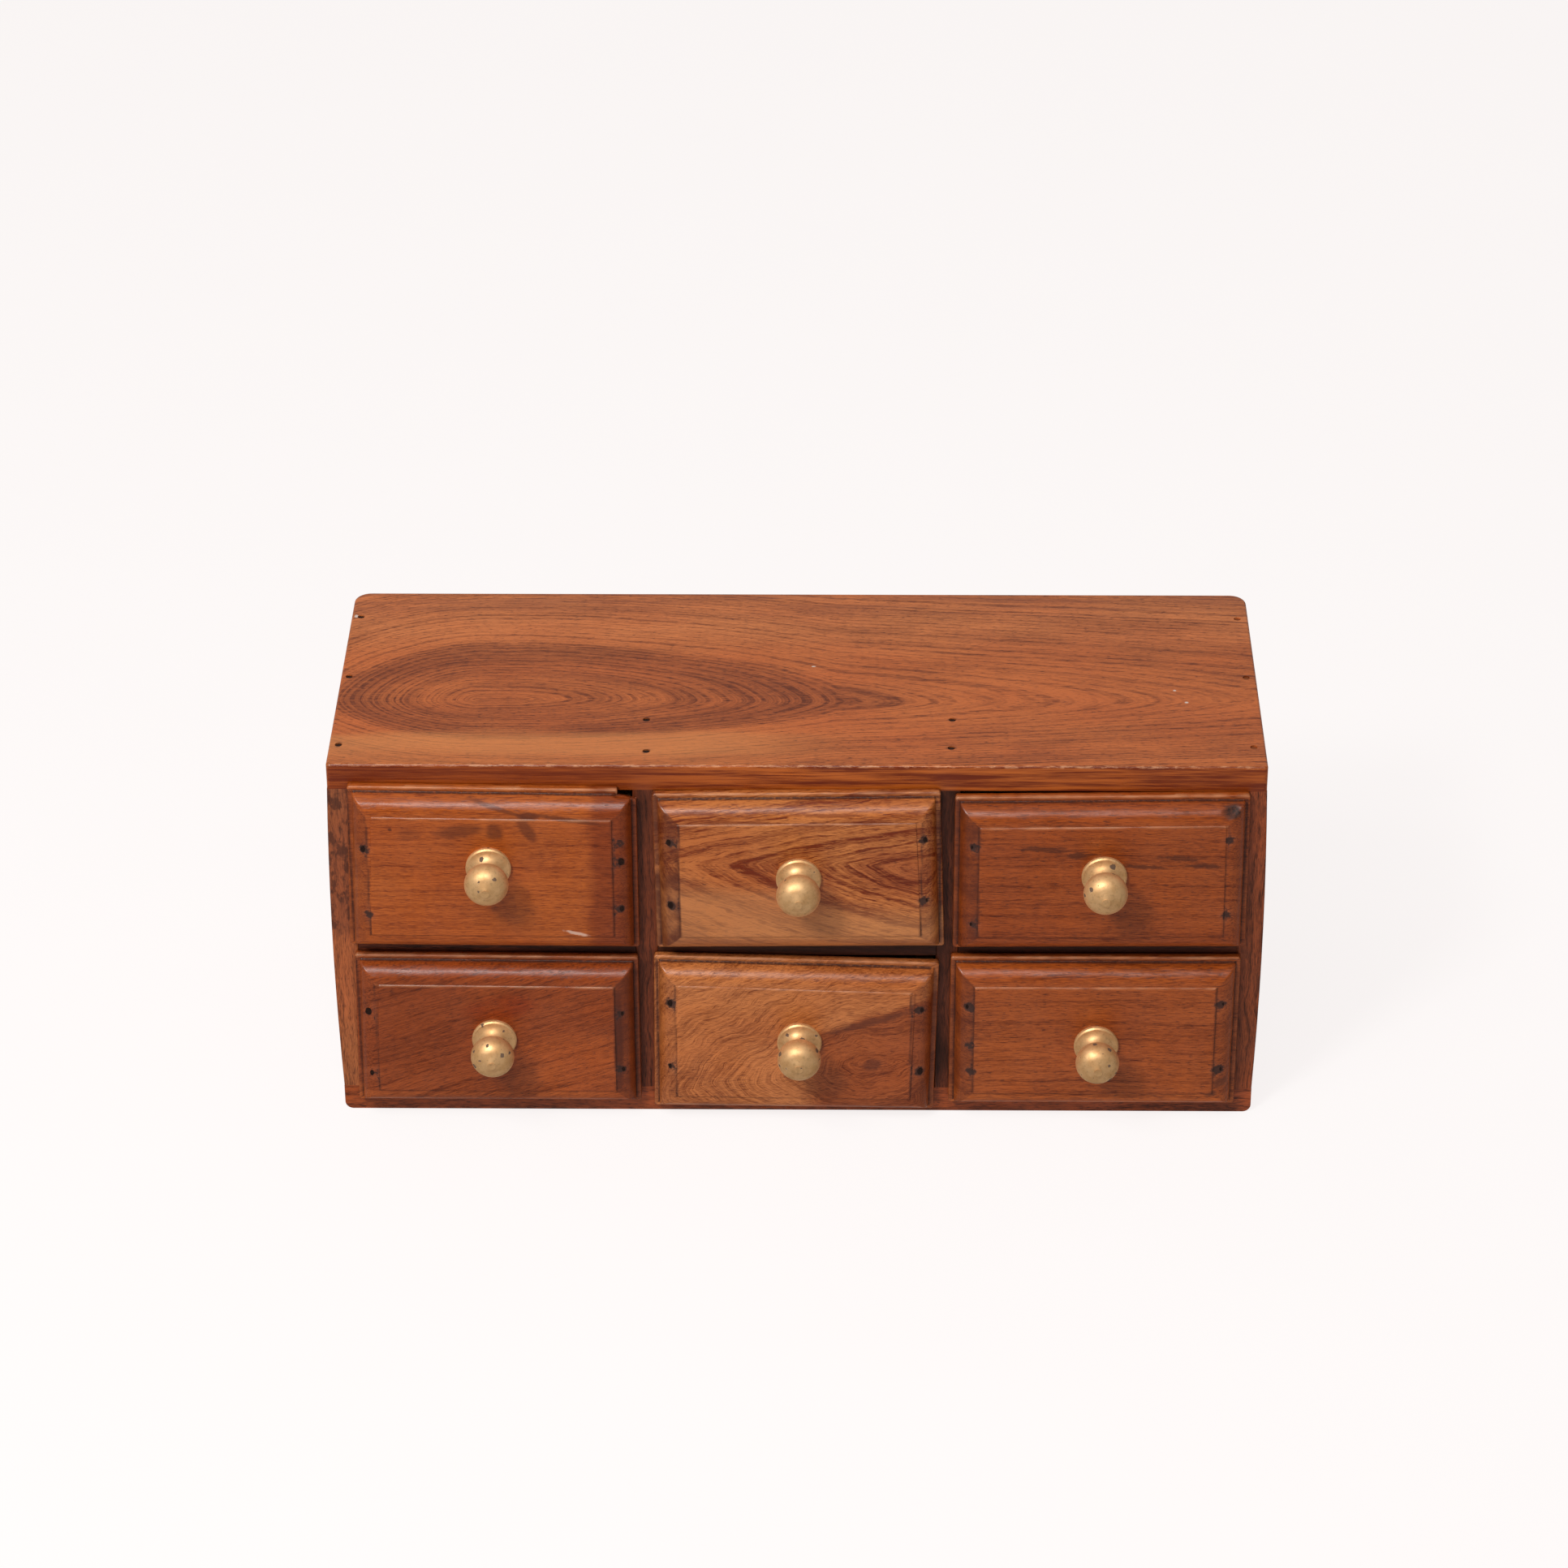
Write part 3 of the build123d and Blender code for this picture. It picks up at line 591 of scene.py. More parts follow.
class WorkedFront:
    """A drawer front cut by hand: its lip, quarter round and field are all a little uneven."""

    def __init__(self, drawer, seed):
        self.drawer, self.seed = drawer, seed
        self.corners, self.back_y = outline_of(drawer)
        (x0, z0), (x1, z1), (_, z2), (_, z3) = self.corners
        self.width = x1 - x0
        self.chip_from = 1 - CHIP_W / self.width
        self.us = stations(self.width, [self.chip_from] if drawer == CHIPPED else [])
        self.vs = stations((z3 - z0 + z2 - z1) / 2)
        self.profile = front_profile()
        self.verts, self.faces = [], []

    def drift(self, x, z, inset):
        """How far an edge wanders from its straight line."""
        wave = min(1.0, inset / (2 * MM))
        slow = EDGE_DRIFT[0] * rough(x, z, 0.016, self.seed + round(inset / MM)) * wave
        return slow + EDGE_DRIFT[1] * rough(x, z, 0.004, self.seed + 3)

    def place(self, u, v, inset, h):
        """The point at share u across and v up a ring that is inset from the outline."""
        (x0, z0), (x1, z1), (x2, z2), (x3, z3) = self.corners
        low, high = z0 + (z1 - z0) * u, z3 + (z2 - z3) * u
        left, right = x0 + (x3 - x0) * v, x1 + (x2 - x1) * v
        x = left + inset + (right - left - 2 * inset) * u
        z = low + inset + (high - low - 2 * inset) * v
        if u in (0, 1) or v in (0, 1):
            drift = self.drift(x, z, inset)
            if u in (0, 1):
                x += drift * (1 if u == 0 else -1)
            if v in (0, 1):
                z += drift * (1 if v == 0 else -1)
        out = self.back_y - h
        if h > 1 * MM:
            rise = h / self.profile[-1][1]
            out += FACE_SWELL[0] * rough(x, z, 0.009, self.seed + 5) * rise
            out += FACE_SWELL[1] * rough(x, z, 0.035, self.seed + 6) * rise
        if self.drawer == CHIPPED and h < LIP_T + CHIP_H and u > self.chip_from:
            drop = CHIP_DROP + CHIP_SLOPE * (u - self.chip_from) * self.width
            drop += CHIP_BEVEL * max(0.0, LIP_T - h) + CHIP_ROUGH * rough(x, out, 0.002, 5)
            z = min(z, high - drop)
        return Vector((x, out, z))

    def ring(self, inset, h):
        """A ring's points, anticlockwise from the low left corner, seen from the front."""
        us, vs = self.us, self.vs
        points = [self.place(u, 0, inset, h) for u in us[:-1]]
        points += [self.place(1, v, inset, h) for v in vs[:-1]]
        points += [self.place(u, 1, inset, h) for u in reversed(us[1:])]
        points += [self.place(0, v, inset, h) for v in reversed(vs[1:])]
        if inset < LIP_CORNER_R:
            pull = (LIP_CORNER_R - inset) * CORNER_CUT
            starts = (0, len(us) - 1, len(us) + len(vs) - 2, 2 * len(us) + len(vs) - 3)
            for start, (sx, sz) in zip(starts, ((1, 1), (-1, 1), (-1, -1), (1, -1))):
                points[start] = points[start] + Vector((sx * pull, 0, sz * pull))
        return points

    def fill(self, loop, inset, h, flip):
        """Fills a ring with a grid of faces that share the ring's own points."""
        cols, rows = len(self.us), len(self.vs)
        rim = [(0, c) for c in range(cols - 1)] + [(r, cols - 1) for r in range(rows - 1)]
        rim += [(rows - 1, c) for c in range(cols - 1, 0, -1)]
        rim += [(r, 0) for r in range(rows - 1, 0, -1)]
        table = dict(zip(rim, loop))
        for r in range(1, rows - 1):
            for c in range(1, cols - 1):
                table[r, c] = len(self.verts)
                self.verts.append(self.place(self.us[c], self.vs[r], inset, h))
        for r in range(rows - 1):
            for c in range(cols - 1):
                quad = (table[r, c], table[r, c + 1], table[r + 1, c + 1], table[r + 1, c])
                self.faces.append(quad[::-1] if flip else quad)

    def build(self):
        """The front as an object in the scene."""
        loops = []
        for inset, h in self.profile:
            points = self.ring(inset, h)
            loops.append(range(len(self.verts), len(self.verts) + len(points)))
            self.verts += points
        for outer, inner in zip(loops, loops[1:]):
            for i in range(len(outer)):
                j = (i + 1) % len(outer)
                self.faces.append((outer[i], outer[j], inner[j], inner[i]))
        self.fill(loops[-1], *self.profile[-1], flip=False)
        self.fill(loops[0], *self.profile[0], flip=True)
        name = f"{self.drawer}_front_worked"
        mesh = bpy.data.meshes.new(name)
        mesh.from_pydata([tuple(v) for v in self.verts], [], self.faces)
        mark_front(mesh, self.drawer, self.corners, self.back_y)
        mesh.validate()
        mesh.update()
        mesh.shade_smooth()
        piece = bpy.data.objects.new(name, mesh)
        bpy.context.scene.collection.objects.link(piece)
        return piece


def falloff(distance, near, far):
    """1 nearer than near, 0 beyond far, smooth between."""
    t = min(1.0, max(0.0, (far - distance) / (far - near)))
    return t * t * (3 - 2 * t)


def nail_mark(at, x, z, side_gap):
    """The filler over one nail at a point: the mark itself, its smear along the field, its sink."""
    mx, mz = at
    wide = 1.15 + 0.5 * rough(mx, mz, 0.013, 11)
    tall = 1.05 + 0.4 * rough(mx, mz, 0.013, 12)
    away = math.hypot((x - mx) / wide, (z - mz) / tall)
    mark = falloff(away, 0.6 * MM, 3.0 * MM) * min(1.0, 0.85 + 0.4 * rough(mx, mz, 0.011, 16))
    line = falloff(abs(side_gap - FIELD_W + 0.5 * MM), 0.2 * MM, 1.1 * MM)
    line *= abs(x - mx) < MARK_REACH
    reach = (6 + 4 * rough(mx, mz, 0.01, 13)) * MM
    smear = 0.62 * line * falloff(abs(z - mz), 1.5 * MM, reach)
    return mark, smear, MARK_DEPTH * falloff(away, 0.4 * MM, 1.6 * MM)


def grooves(x, z, inset, h, on_side, on_top):
    """How dark the front's two grooves are painted at a point, and how strongly a highlight is
    painted on its edges.
    """
    lip = falloff(abs(inset - LIP_W), 0.1 * MM, 0.7 * MM) * (2.5 * MM < h < 4.2 * MM)
    step = falloff(abs(inset - FIELD_W), 0.05 * MM, 0.5 * MM) * (h > NEAR_FACE)
    step *= (0.62 + 0.5 * rough(x, z, 0.008, 14)) if on_side else 0.12
    painted_highlight = 0.0
    # Painted highlight along the field's top arris.
    if on_top and h > NEAR_FACE:
        highlight_band = falloff(abs(inset - FIELD_W - 0.2 * MM), 0.12 * MM, 0.5 * MM)
        painted_highlight = highlight_band * max(0.0, 0.4 + 0.7 * rough(x, z, 0.006, 15))
    # Painted highlight along the lip's front arris, full on the top edge and faint on the others.
    if inset < 0.8 * MM and h > LIP_T - 1 * MM:
        painted_highlight = (1.0 if on_top else 0.1) * max(0.0, 0.6 + 0.7 * rough(x, z, 0.005, 17))
    return max(lip, step), painted_highlight


def hollow_at(x, z, knot_at):
    """How far inside the knot hole a point is, from 0 to 1, and how deep it is sunk."""
    stretch = 1.9 if x < knot_at[0] else 1.0
    away = math.hypot((x - knot_at[0]) / stretch, z - knot_at[1])
    away += 0.3 * MM * rough(x, z, 0.003, 2)
    sink = HOLLOW_DEPTH * falloff(away, 0.4 * MM, 2.6 * MM)
    return falloff(away, 1.4 * MM, 2.8 * MM), sink


def mark_front(mesh, drawer, corners, back_y):
    """Sinks the nail marks and stores, for the finish, where they, the ends and the grooves are."""
    (x0, z0), (x1, z1), (x2, z2), (_, z3) = corners
    marks = nail_marks(drawer) + [(x * MM, z * MM) for x, z in EXTRA_MARKS_MM.get(drawer, ())]
    knot_at = (x2 - HOLLOW_IN[0], z2 - HOLLOW_IN[1])
    names = ("filler", "end_grain", "groove", "painted_highlight", "hollow")
    values = {name: np.zeros(len(mesh.vertices), np.float32) for name in names}
    for i, vertex in enumerate(mesh.vertices):
        x, y, z = vertex.co
        share = (x - x0) / (x1 - x0)
        low, high = z0 + (z1 - z0) * share, z3 + (z2 - z3) * share
        side_gap, rail_gap = min(x - x0, x1 - x), min(z - low, high - z)
        inset, h = min(side_gap, rail_gap), back_y - y
        if h < 0.5 * MM:
            continue
        for at in marks:
            mark, smear, sink = nail_mark(at, x, z, side_gap)
            if drawer == FAINT_SIDE and at[0] < (x0 + x1) / 2:
                mark *= FAINT
            values["filler"][i] = max(values["filler"][i], mark, smear)
            vertex.co.y += sink
        if drawer == HOLLOWED:
            values["hollow"][i], sink = hollow_at(x, z, knot_at)
            vertex.co.y += sink
        if side_gap < rail_gap + 0.2 * MM and inset < FIELD_W + 0.3 * MM:
            values["end_grain"][i] = END_SHADE[drawer][0 if x - x0 < x1 - x else 1]
        on_side = side_gap < rail_gap
        on_top = not on_side and high - z < z - low
        values["groove"][i], values["painted_highlight"][i] = grooves(x, z, inset, h, on_side, on_top)
    for name, data in values.items():
        mesh.attributes.new(name, "FLOAT", "POINT").data.foreach_set("value", data)


def front_finish(paint):
    """Paints what every front has: dark ends, darker grooves, painted highlights on its arrises,
    and filler over its nails.
    """

    def extra(tree, point, colour):
        colour = paint(tree, point, colour)
        grit = tree.noise(point, 1.1, 3.0, 0.6, 3.0)
        patchy = tree.span(tree.noise(point, 6.0, 3.0, 0.6, 9.0), 0.2, 0.7, 0.15, 0.5)
        ends = tree.times(tree.attribute("end_grain"), patchy)
        colour = tree.mix(ends, colour, srgb(84, 36, 20))
        # The grooves painted darker, patchily.
        groove = tree.times(tree.attribute("groove"), tree.span(grit, 0.25, 0.6, 0.4, 0.95))
        colour = tree.mix(groove, colour, srgb(58, 28, 20))
        # Painted highlight on the arrises.
        colour = tree.mix(tree.times(tree.attribute("painted_highlight"), 0.4), colour, ARRIS_HIGHLIGHT)
        inside = tree.mix(tree.span(grit, 0.35, 0.65), srgb(38, 17, 9), srgb(82, 38, 18))
        colour = tree.mix(tree.attribute("hollow"), colour, inside)
        ragged = tree.times(tree.less(grit, 0.5), 1.1)
        filler = tree.add(tree.attribute("filler"), ragged)
        return tree.mix(tree.span(filler, 0.42, 0.75, 0.0, 0.92), colour, FILLER)

    return extra


def paint_top_left(tree, point, colour):
    """A dark streak through a small knot near the top, a redder right end, and a pale scuff."""
    x = tree.split(point)[0]
    drift = tree.times(tree.sway(point, (30.0, 9.0, 14.0), 2.0, 0.5, 4.0), 9.0)
    redder = tree.span(tree.add(x, drift), -76.0, -70.0)
    colour = stained(tree, colour, redder, (0.62, 0.50, 0.55))
    for at, size, turn, ragged, seed, share in (
        ((-94.0, 130.8), (4.0, 1.7), 0.0, 0.5, 1.0, 0.85),  # the knot
        ((-104.0, 133.2), (12.0, 0.8), -16.0, 0.5, 2.0, 0.7),  # the streak's two arms
        ((-80.0, 129.6), (15.0, 0.9), -9.0, 0.5, 3.0, 0.7),
        ((-118.5, 125.0), (8.5, 2.8), 8.0, 0.5, 4.0, 0.6),  # stains below it
        ((-106.0, 124.4), (3.4, 3.4), 0.0, 0.5, 8.0, 0.65),
        ((-94.5, 125.5), (6.0, 2.4), -58.0, 0.4, 5.0, 0.65),
        ((-136.0, 123.6), (4.5, 2.6), 0.0, 0.5, 9.0, 0.3),
        ((-142.5, 125.5), (0.8, 0.6), 0.0, 0.3, 6.0, 0.9),  # a dark speck
    ):
        blot = smudge(tree, point, "xz", at, size, turn, ragged, seed)
        colour = blend_in(tree, colour, blot, share, srgb(88, 38, 18))
    scuff = smudge(tree, point, "xz", (-78.0, 82.7), (4.4, 0.7), -14.0, 0.9, 7.0)
    return blend_in(tree, colour, scuff, 0.55, srgb(214, 188, 170))


def streaked(tree, point, colour, streaks, turn, ragged, seed, share, paint):
    """Ragged streaks on a front, each given as (place, size)."""
    for i, (at, size) in enumerate(streaks):
        streak = smudge(tree, point, "xz", at, size, turn, ragged, seed + i)
        colour = blend_in(tree, colour, streak, share, paint)
    return colour


def paint_top_middle(tree, point, colour):
    """The lighter wood low on the field, a browner patch right of the knob, painted shade on the
    low moulding, and streaks above it.
    """
    x, _, z = tree.split(point)
    wander = tree.times(tree.sway(point, (40.0, 9.0, 12.0), 2.0, 0.5, 4.0), 16.0)
    height = tree.add(tree.add(z, wander), tree.times(x, 0.12))
    colour = blend_in(tree, colour, tree.span(height, 104.0, 90.0), 0.42, srgb(184, 126, 78))
    shaded = smudge(tree, point, "xz", (34.0, 109.0), (15.0, 10.0), 0.0, 0.5, 5.0)
    colour = stained(tree, colour, shaded, (0.80, 0.68, 0.66))
    # Painted shade: the low moulding darkened, where the lower row's fronts keep light off it.
    colour = stained(tree, colour, tree.span(z, 81.0, 79.5), (0.84, 0.76, 0.74))
    streaks = (
        ((-18.0, 128.4), (14.0, 0.8)), ((4.0, 127.7), (9.0, 0.6)), ((26.0, 128.6), (12.0, 0.8)),
        ((-34.0, 131.6), (8.0, 0.9)), ((12.0, 131.2), (13.0, 0.7)),
    )
    return streaked(tree, point, colour, streaks, 0.0, 0.9, 11.0, 0.6, srgb(104, 36, 10))


def paint_top_right(tree, point, colour):
    """Dark streaks across the middle of the field."""
    streaks = (
        ((86.9, 118.3), (9.0, 1.3)), ((99.0, 115.7), (4.5, 1.5)), ((134.3, 114.8), (7.5, 1.1)),
        ((143.0, 111.6), (7.0, 1.1)), ((121.0, 111.2), (9.0, 0.9)),
    )
    return streaked(tree, point, colour, streaks, -3.0, 1.1, 1.0, 0.7, srgb(74, 34, 20))


LOW_MOULD = (15.0, 13.5)  # z where the bottom row's fields give way to their low mouldings, which get painted light from the floor


def paint_bottom_left(tree, point, colour):
    """Browner on the left, golden low on the right, a redder painted reflection of the knob above
    it, painted floor light on the low moulding, filler up the right end.
    """
    browner = smudge(tree, point, "xz", (-138.0, 44.0), (24.0, 26.0), -25.0, 0.25, 4.0)
    colour = stained(tree, colour, browner, (0.86, 0.82, 0.8))
    golden = smudge(tree, point, "xz", (-82.0, 27.0), (24.0, 15.0), 10.0, 0.25, 2.0)
    colour = stained(tree, colour, golden, (1.25, 1.35, 1.3))
    # Painted reflection: the knob mirrored in the lacquer, as a redder, darker patch just above it.
    knob_reflection = smudge(tree, point, "xz", (-106.0, 51.0), (13.0, 6.0), 10.0, 0.3, 3.0)
    colour = stained(tree, colour, knob_reflection, (0.85, 0.62, 0.4))
    # Painted light: the low moulding made lighter, standing for light bounced up from the floor.
    floor_bounce_light = tree.span(tree.split(point)[2], *LOW_MOULD)
    colour = stained(tree, colour, floor_bounce_light, (1.15, 1.25, 1.2))
    strip = smudge(tree, point, "xz", (-64.0, 37.0), (1.6, 23.0), 0.0, 0.5, 1.0)
    return blend_in(tree, colour, strip, 0.75, srgb(66, 30, 20))


def paint_bottom_middle(tree, point, colour):
    """The dark heartwood that fills the lower right of the field, with a small knot in it."""
    x, _, z = tree.split(point)
    wander = tree.times(tree.sway(point, (14.0, 9.0, 8.0), 3.0, 0.55, 4.0), 9.0)
    rise = tree.times(tree.math("SQRT", tree.math("MAXIMUM", tree.add(x, 2.0), 0.0)), 3.4)
    above = tree.less(tree.add(z, wander), tree.add(rise, 30.0))
    heart = tree.times(tree.span(above, 1.5, -2.0), tree.span(x, 0.0, 10.0))
    colour = stained(tree, colour, heart, (0.66, 0.47, 0.36))
    edge = smudge(tree, point, "xz", (26.0, 45.0), (16.0, 1.8), 18.0, 0.7, 3.0)
    colour = blend_in(tree, colour, edge, 0.7, srgb(90, 42, 26))
    knot = smudge(tree, point, "xz", (27.0, 27.0), (3.6, 2.6), 20.0, 0.6, 2.0)
    return blend_in(tree, colour, knot, 0.6, srgb(84, 38, 26))


def paint_bottom_right(tree, point, colour):
    """Painted floor light on the low edge, and a rough brown spot near its right end."""
    # Painted light: the low moulding made lighter, standing for light bounced up from the floor.
    floor_bounce_light = tree.span(tree.split(point)[2], *LOW_MOULD)
    colour = stained(tree, colour, floor_bounce_light, (1.3, 1.4, 1.3))
    spots = (((152.5, 19.0), (2.6, 2.2)), ((149.5, 14.5), (2.0, 1.4)))
    return streaked(tree, point, colour, spots, 0.0, 1.1, 2.0, 0.6, srgb(84, 44, 28))


FACE_Y = -72.8  # the fields' plane, in mm

FRONT_LOOKS = {
    "top_left": dict(
        paint=paint_top_left, centre=(-108.0, -60.0, FACE_Y), warp=4.0, band=0.45, line=0.35,
        light=srgb(174, 87, 27), dark=srgb(108, 38, 3), deep=srgb(104, 40, 10),
        blush=srgb(162, 70, 16), seed=21.0,
    ),
    "top_middle": dict(
        paint=paint_top_middle, centre=(60.0, 111.0, FACE_Y), spread=(5.0, 6.0, 1.75, 1.0),
        pointed=1.25, warp=4.0, ripple=3.4, ring=1.2, band=1.8, line=0.8, soft=1.6,
        tone=((0.0, 0.4), (0.3, 0.3), (1.0, 0.35)), light=srgb(188, 112, 54),
        dark=srgb(108, 36, 3), deep=srgb(96, 38, 12), blush=srgb(166, 76, 24), seed=22.0,
    ),
    "top_right": dict(
        paint=paint_top_right, centre=(100.0, -60.0, FACE_Y), warp=5.0, band=0.6, line=0.4,
        soft=1.1, light=srgb(157, 74, 22), dark=srgb(90, 30, 4), blush=srgb(148, 62, 14),
        seed=23.0,
    ),
    "bottom_left": dict(
        paint=paint_bottom_left, centre=(-60.0, -90.0, FACE_Y), turn=18.0,
        spread=(6.0, 6.0, 1.0, 1.0), warp=6.0, ripple=1.4, band=0.6, line=0.45, soft=1.1,
        light=srgb(152, 70, 24), dark=srgb(88, 30, 4), blush=srgb(140, 58, 16), seed=24.0,
    ),
    "bottom_middle": dict(
        paint=paint_bottom_middle, centre=(27.0, 27.0, FACE_Y), turn=10.0,
        spread=(1.9, 3.0, 1.2, 1.0), pointed=1.4, warp=12.0, warp_size=(20.0, 18.0, 18.0),
        ripple=4.6, ring=1.3, band=0.7, line=0.3, soft=1.5, light=srgb(192, 115, 60),
        dark=srgb(108, 44, 8), deep=srgb(104, 44, 16), blush=srgb(178, 90, 36), seed=25.0,
    ),
    "bottom_right": dict(
        paint=paint_bottom_right, centre=(104.0, 190.0, FACE_Y), warp=6.0, band=0.6, line=0.4,
        soft=1.1, light=srgb(164, 80, 28), dark=srgb(92, 32, 4), blush=srgb(152, 66, 18),
        seed=26.0,
    ),
}


# ---- Brass and steel ----
PIT_SPACING_MM = 2.6
PIT_REACH = 0.42
PIT_DEPTH_MM = 0.08
SCRATCH_DEPTH_MM = 0.012
BRASS_METAL = 0.66
PITTED = {  # the share of pit sites on each drawer's knob that hold a pit
    "top_left": 0.2, "top_middle": 0.14, "top_right": 0.18,
    "bottom_left": 0.38, "bottom_middle": 0.34, "bottom_right": 0.2,
}


def brass_pits(tree, point, seed, pitted):
    """1 in a pit. Each cell of a pattern has a site, and pitted says how many sites are pits."""
    moved = tree.moved(point, (seed, seed, seed))
    sites = tree.node("ShaderNodeTexVoronoi", {"Vector": moved, "Scale": 1.0 / PIT_SPACING_MM})
    grit = tree.sway(point, 0.8, 3.0, 0.6, seed + 5.0)
    away = tree.add(sites.outputs["Distance"], tree.times(grit, 0.5))
    chance = tree.split(sites.outputs["Color"])[0]
    reach = tree.span(chance, 1.0 - pitted, 1.0, 0.0, PIT_REACH, False)
    return tree.span(tree.less(reach, away), 0.0, 0.04)


def brass(name, seed, pitted):
    """Aged brass, turned and dulled by handling, with dark pits."""
    tree = Tree(name)
    point = tree.millimetres()
    tone = tree.noise(point, 4.0, 3.0, 0.6, seed)
    colour = tree.mix(tree.span(tone, 0.35, 0.7), srgb(238, 190, 134), srgb(218, 168, 112))
    tarnish = tree.noise(point, 1.3, 4.0, 0.65, seed + 2.0)
    tarnished = tree.span(tarnish, 0.50, 0.74, 0.0, 0.45)
    colour = tree.mix(tarnished, colour, srgb(168, 122, 74))
    pit = brass_pits(tree, point, seed, pitted)
    colour = tree.mix(tree.times(pit, 0.92), colour, srgb(78, 58, 48))
    scratch = tree.noise(point, (0.35, 2.2, 0.35), 2.0, 0.5, seed + 8.0)
    rough_now = tree.span(tone, 0.3, 0.7, 0.47, 0.57, False)
    rough_now = tree.add(rough_now, tree.times(pit, 0.3))
    relief = tree.less(tree.times(scratch, SCRATCH_DEPTH_MM), tree.times(pit, PIT_DEPTH_MM))
    metal = tree.less(BRASS_METAL, tree.times(pit, BRASS_METAL))
    return tree.finish(
        Base_Color=colour, Metallic=metal, Roughness=rough_now, Normal=tree.bump(relief, 0.7)
    )


def stopped_nails(tree, point, colour):
    """The nails along the top's right end, stopped with wood-coloured filler."""
    x, _, z = tree.split(point)
    stopped = tree.times(tree.span(x, 150.0, 152.0), tree.span(z, 140.0, 142.0))
    return tree.mix(stopped, colour, srgb(150, 82, 44))


STEEL_METAL = 0.6
STEEL_GRIT_MM = 0.02


def steel(name, base, shade, seed, extra=None):
    """Dull plated or stained steel."""
    tree = Tree(name)
    point = tree.millimetres()
    tone = tree.noise(point, 0.8, 3.0, 0.6, seed)
    colour = tree.mix(tree.span(tone, 0.3, 0.7), base, shade)
    if extra:
        colour = extra(tree, point, colour)
    relief = tree.times(tree.noise(point, 0.25, 2.0, 0.6, seed + 1.0), STEEL_GRIT_MM)
    return tree.finish(
        Base_Color=colour, Metallic=STEEL_METAL, Roughness=tree.span(tone, 0.2, 0.8, 0.35, 0.6),
        Normal=tree.bump(relief, 0.6),
    )


# ---- Putting it together ----
def dress(node, material):
    """Gives a CAD node its material."""
    slots = NODES[node].data.materials
    slots.clear()
    slots.append(material)


def dress_carcass():
    for node, material in carcass_woods().items():
        dress(node, material)
    nail = steel("steel_nails", srgb(58, 36, 28), srgb(40, 24, 20), 1.0, stopped_nails)
    dress("carcass_nails", nail)
    dress("back_panel_pins", nail)
    return nail


def painted_gap_shade(tree, point, colour):
    """Painted shade: the first few mm of the bare box behind the front darkened, standing for the
    shadow in the gaps round it.
    """
    y = tree.split(point)[1]
    ragged = tree.add(y, tree.times(tree.noise(point, 5.0, 3.0, 0.6, 2.0), 5.0))
    return blend_in(tree, colour, tree.span(ragged, -53.0, -57.0), 0.85, srgb(46, 24, 16))


BOX_PLANES = {"left_side": "yz", "right_side": "yz", "back": "xz", "bottom": "xy"}
BOX_LOOK = dict(
    extra=painted_gap_shade, centre=(0.0, 200.0, 0.0), light=srgb(206, 156, 104),
    dark=srgb(160, 108, 66), blush=srgb(190, 132, 84), deep=srgb(116, 72, 44),
)


def dress_drawers(nail):
    screw = steel("steel_screws", srgb(150, 148, 142), srgb(112, 110, 106), 2.0)
    box_wood = {
        plane: wood(f"wood_box_{plane}", plane=plane, seed=30.0 + i, **BOX_LOOK)
        for i, plane in enumerate(("yz", "xz", "xy"))
    }
    for i, drawer in enumerate(DRAWERS):
        look = dict(FRONT_LOOKS[drawer])
        paint = look.pop("paint")
        material = wood(f"wood_{drawer}_front", front_finish(paint), plane="xz", **look)
        piece = WorkedFront(drawer, 10 + i).build()
        piece.data.materials.append(material)
        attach(piece, f"{drawer}_drawer")
        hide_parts(f"{drawer}_drawer_front")
        for board, plane in BOX_PLANES.items():
            dress(f"{drawer}_drawer_{board}", box_wood[plane])
        dress(f"{drawer}_drawer_nails", nail)
        dress(f"{drawer}_knob_screw", screw)
        dress(f"{drawer}_knob", brass(f"brass_{drawer}", 61.0 + 5 * i, PITTED[drawer]))


def make_camera():
    yaw, down, roll = CAMERA_YAW, CAMERA_DOWN, CAMERA_ROLL
    level = math.cos(down)
    ahead = Vector((math.sin(yaw) * level, math.cos(yaw) * level, -math.sin(down)))
    right = Vector((math.cos(yaw), -math.sin(yaw), 0.0))
    below = ahead.cross(right)
    turned_right = right * math.cos(roll) + below * math.sin(roll)
    turned_below = below * math.cos(roll) - right * math.sin(roll)
    data = bpy.data.cameras.new("camera")
    data.lens, data.sensor_width = LENS_MM, SENSOR_MM
    data.clip_start, data.clip_end = 0.1, 20.0
    camera = bpy.data.objects.new("camera", data)
    axes = Matrix((turned_right, -turned_below, -ahead)).transposed()
    camera.matrix_world = Matrix.Translation(CAMERA_AT) @ axes.to_4x4()
    bpy.context.scene.collection.objects.link(camera)
    bpy.context.scene.camera = camera


LIT_POINT = Vector((0.0, -0.06, 0.08))
KEY_AT = LIT_POINT + Vector((-0.40, -0.58, 0.71)).normalized() * 2.0
KEY_SIZE = (0.36, 0.36)
KEY_WATTS = 21.0
OVERHEAD_AT = LIT_POINT + Vector((-0.25, -0.48, 0.84)).normalized() * 1.8
OVERHEAD_SIZE = (1.35, 0.21)
OVERHEAD_WATTS = 13.0


def make_light(name, at, size, watts):
    data = bpy.data.lights.new(name, "AREA")
    data.shape, data.energy = "RECTANGLE", watts
    data.size, data.size_y = size
    light = bpy.data.objects.new(name, data)
    light.location = at
    light.rotation_mode = "QUATERNION"
    light.rotation_quaternion = (LIT_POINT - at).to_track_quat("-Z", "Y")
    bpy.context.scene.collection.objects.link(light)


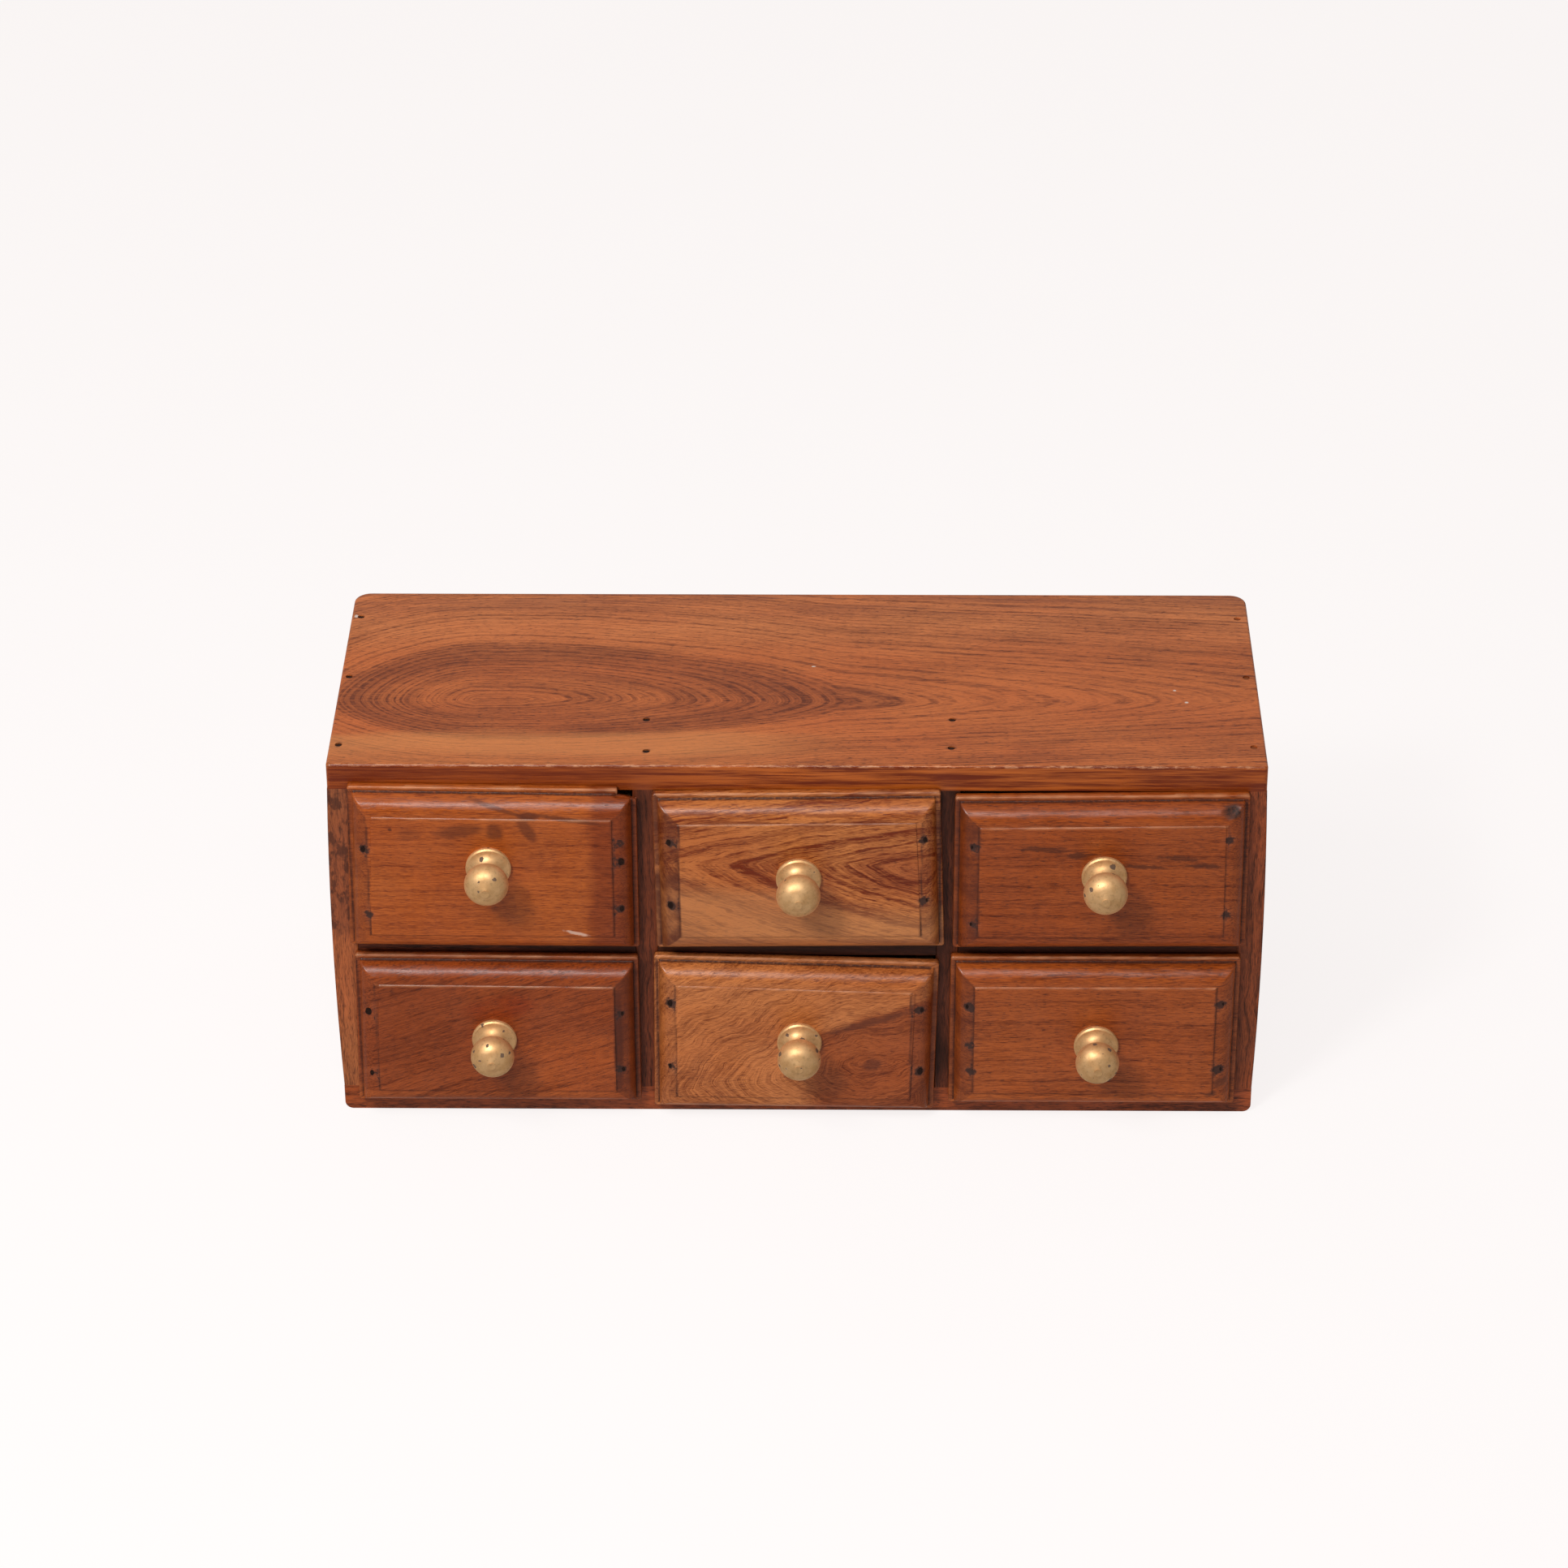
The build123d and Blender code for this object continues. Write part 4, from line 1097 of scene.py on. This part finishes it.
def make_world():
    """Light from all round: a bright ceiling, a softer backdrop, and a dim room below and ahead."""
    world = bpy.data.worlds.new("studio")
    world.use_nodes = True
    nodes, links = world.node_tree.nodes, world.node_tree.links
    where = nodes.new("ShaderNodeTexCoord")
    axes = nodes.new("ShaderNodeSeparateXYZ")
    links.new(where.outputs["Generated"], axes.inputs[0])

    def levels(value, stops):
        ramp = nodes.new("ShaderNodeMapRange")
        ramp.interpolation_type = "SMOOTHSTEP"
        links.new(value, ramp.inputs[0])
        for socket, stop in zip(ramp.inputs[1:], stops):
            socket.default_value = stop
        return ramp.outputs[0]

    def combined(a, b, operation="MULTIPLY"):
        made = nodes.new("ShaderNodeMath")
        made.operation = operation
        links.new(a, made.inputs[0])
        links.new(b, made.inputs[1])
        return made.outputs[0]

    rise, depth = axes.outputs[2], axes.outputs[1]
    ceiling = levels(rise, (0.35, 0.95, 0.0, 0.30))
    behind = levels(depth, (0.1, 0.7, 0.0, 0.20))
    backdrop = combined(behind, levels(rise, (0.95, 0.5, 0.0, 1.0)))
    room = levels(rise, (-0.3, 0.3, 0.12, 0.10))
    total = combined(combined(ceiling, backdrop, "ADD"), room, "ADD")
    links.new(total, nodes["Background"].inputs["Strength"])
    nodes["Background"].inputs["Color"].default_value = (1.0, 0.99, 0.985, 1.0)
    bpy.context.scene.world = world


FLOOR_HALF = 16.0
FLOOR_GLOW = 0.90
FLOOR_TINT = (0.985, 0.945, 0.935, 1.0)


def make_floor():
    """A pale backdrop that glows evenly, as overexposed paper does, and takes a faint shadow."""
    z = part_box("bottom_board")[0].z
    mesh = bpy.data.meshes.new("floor")
    square = ((-1, -1), (1, -1), (1, 1), (-1, 1))
    mesh.from_pydata([(FLOOR_HALF * x, FLOOR_HALF * y, z) for x, y in square], [], [(0, 1, 2, 3)])
    floor = bpy.data.objects.new("floor", mesh)
    bpy.context.scene.collection.objects.link(floor)
    tree = Tree("pale_floor")
    tone = tree.noise(tree.millimetres(), 90.0, 3.0, 0.5, 1.0)
    greys = (0.115, 0.113, 0.112), (0.118, 0.116, 0.115)
    mesh.materials.append(
        tree.finish(
            Base_Color=tree.mix(tree.span(tone, 0.3, 0.7), *greys), Roughness=0.9,
            Specular_IOR_Level=0.0, Emission_Color=FLOOR_TINT, Emission_Strength=FLOOR_GLOW,
        )
    )
    floor.visible_glossy = False  # so that the lacquer on the fronts mirrors a dim room, not paper


def make_stage():
    make_floor()
    make_world()
    make_light("key", KEY_AT, KEY_SIZE, KEY_WATTS)
    make_light("overhead", OVERHEAD_AT, OVERHEAD_SIZE, OVERHEAD_WATTS)
    scene = bpy.context.scene
    scene.view_settings.view_transform = "Standard"
    scene.view_settings.look = "None"


make_camera()
make_stage()
dress_drawers(dress_carcass())
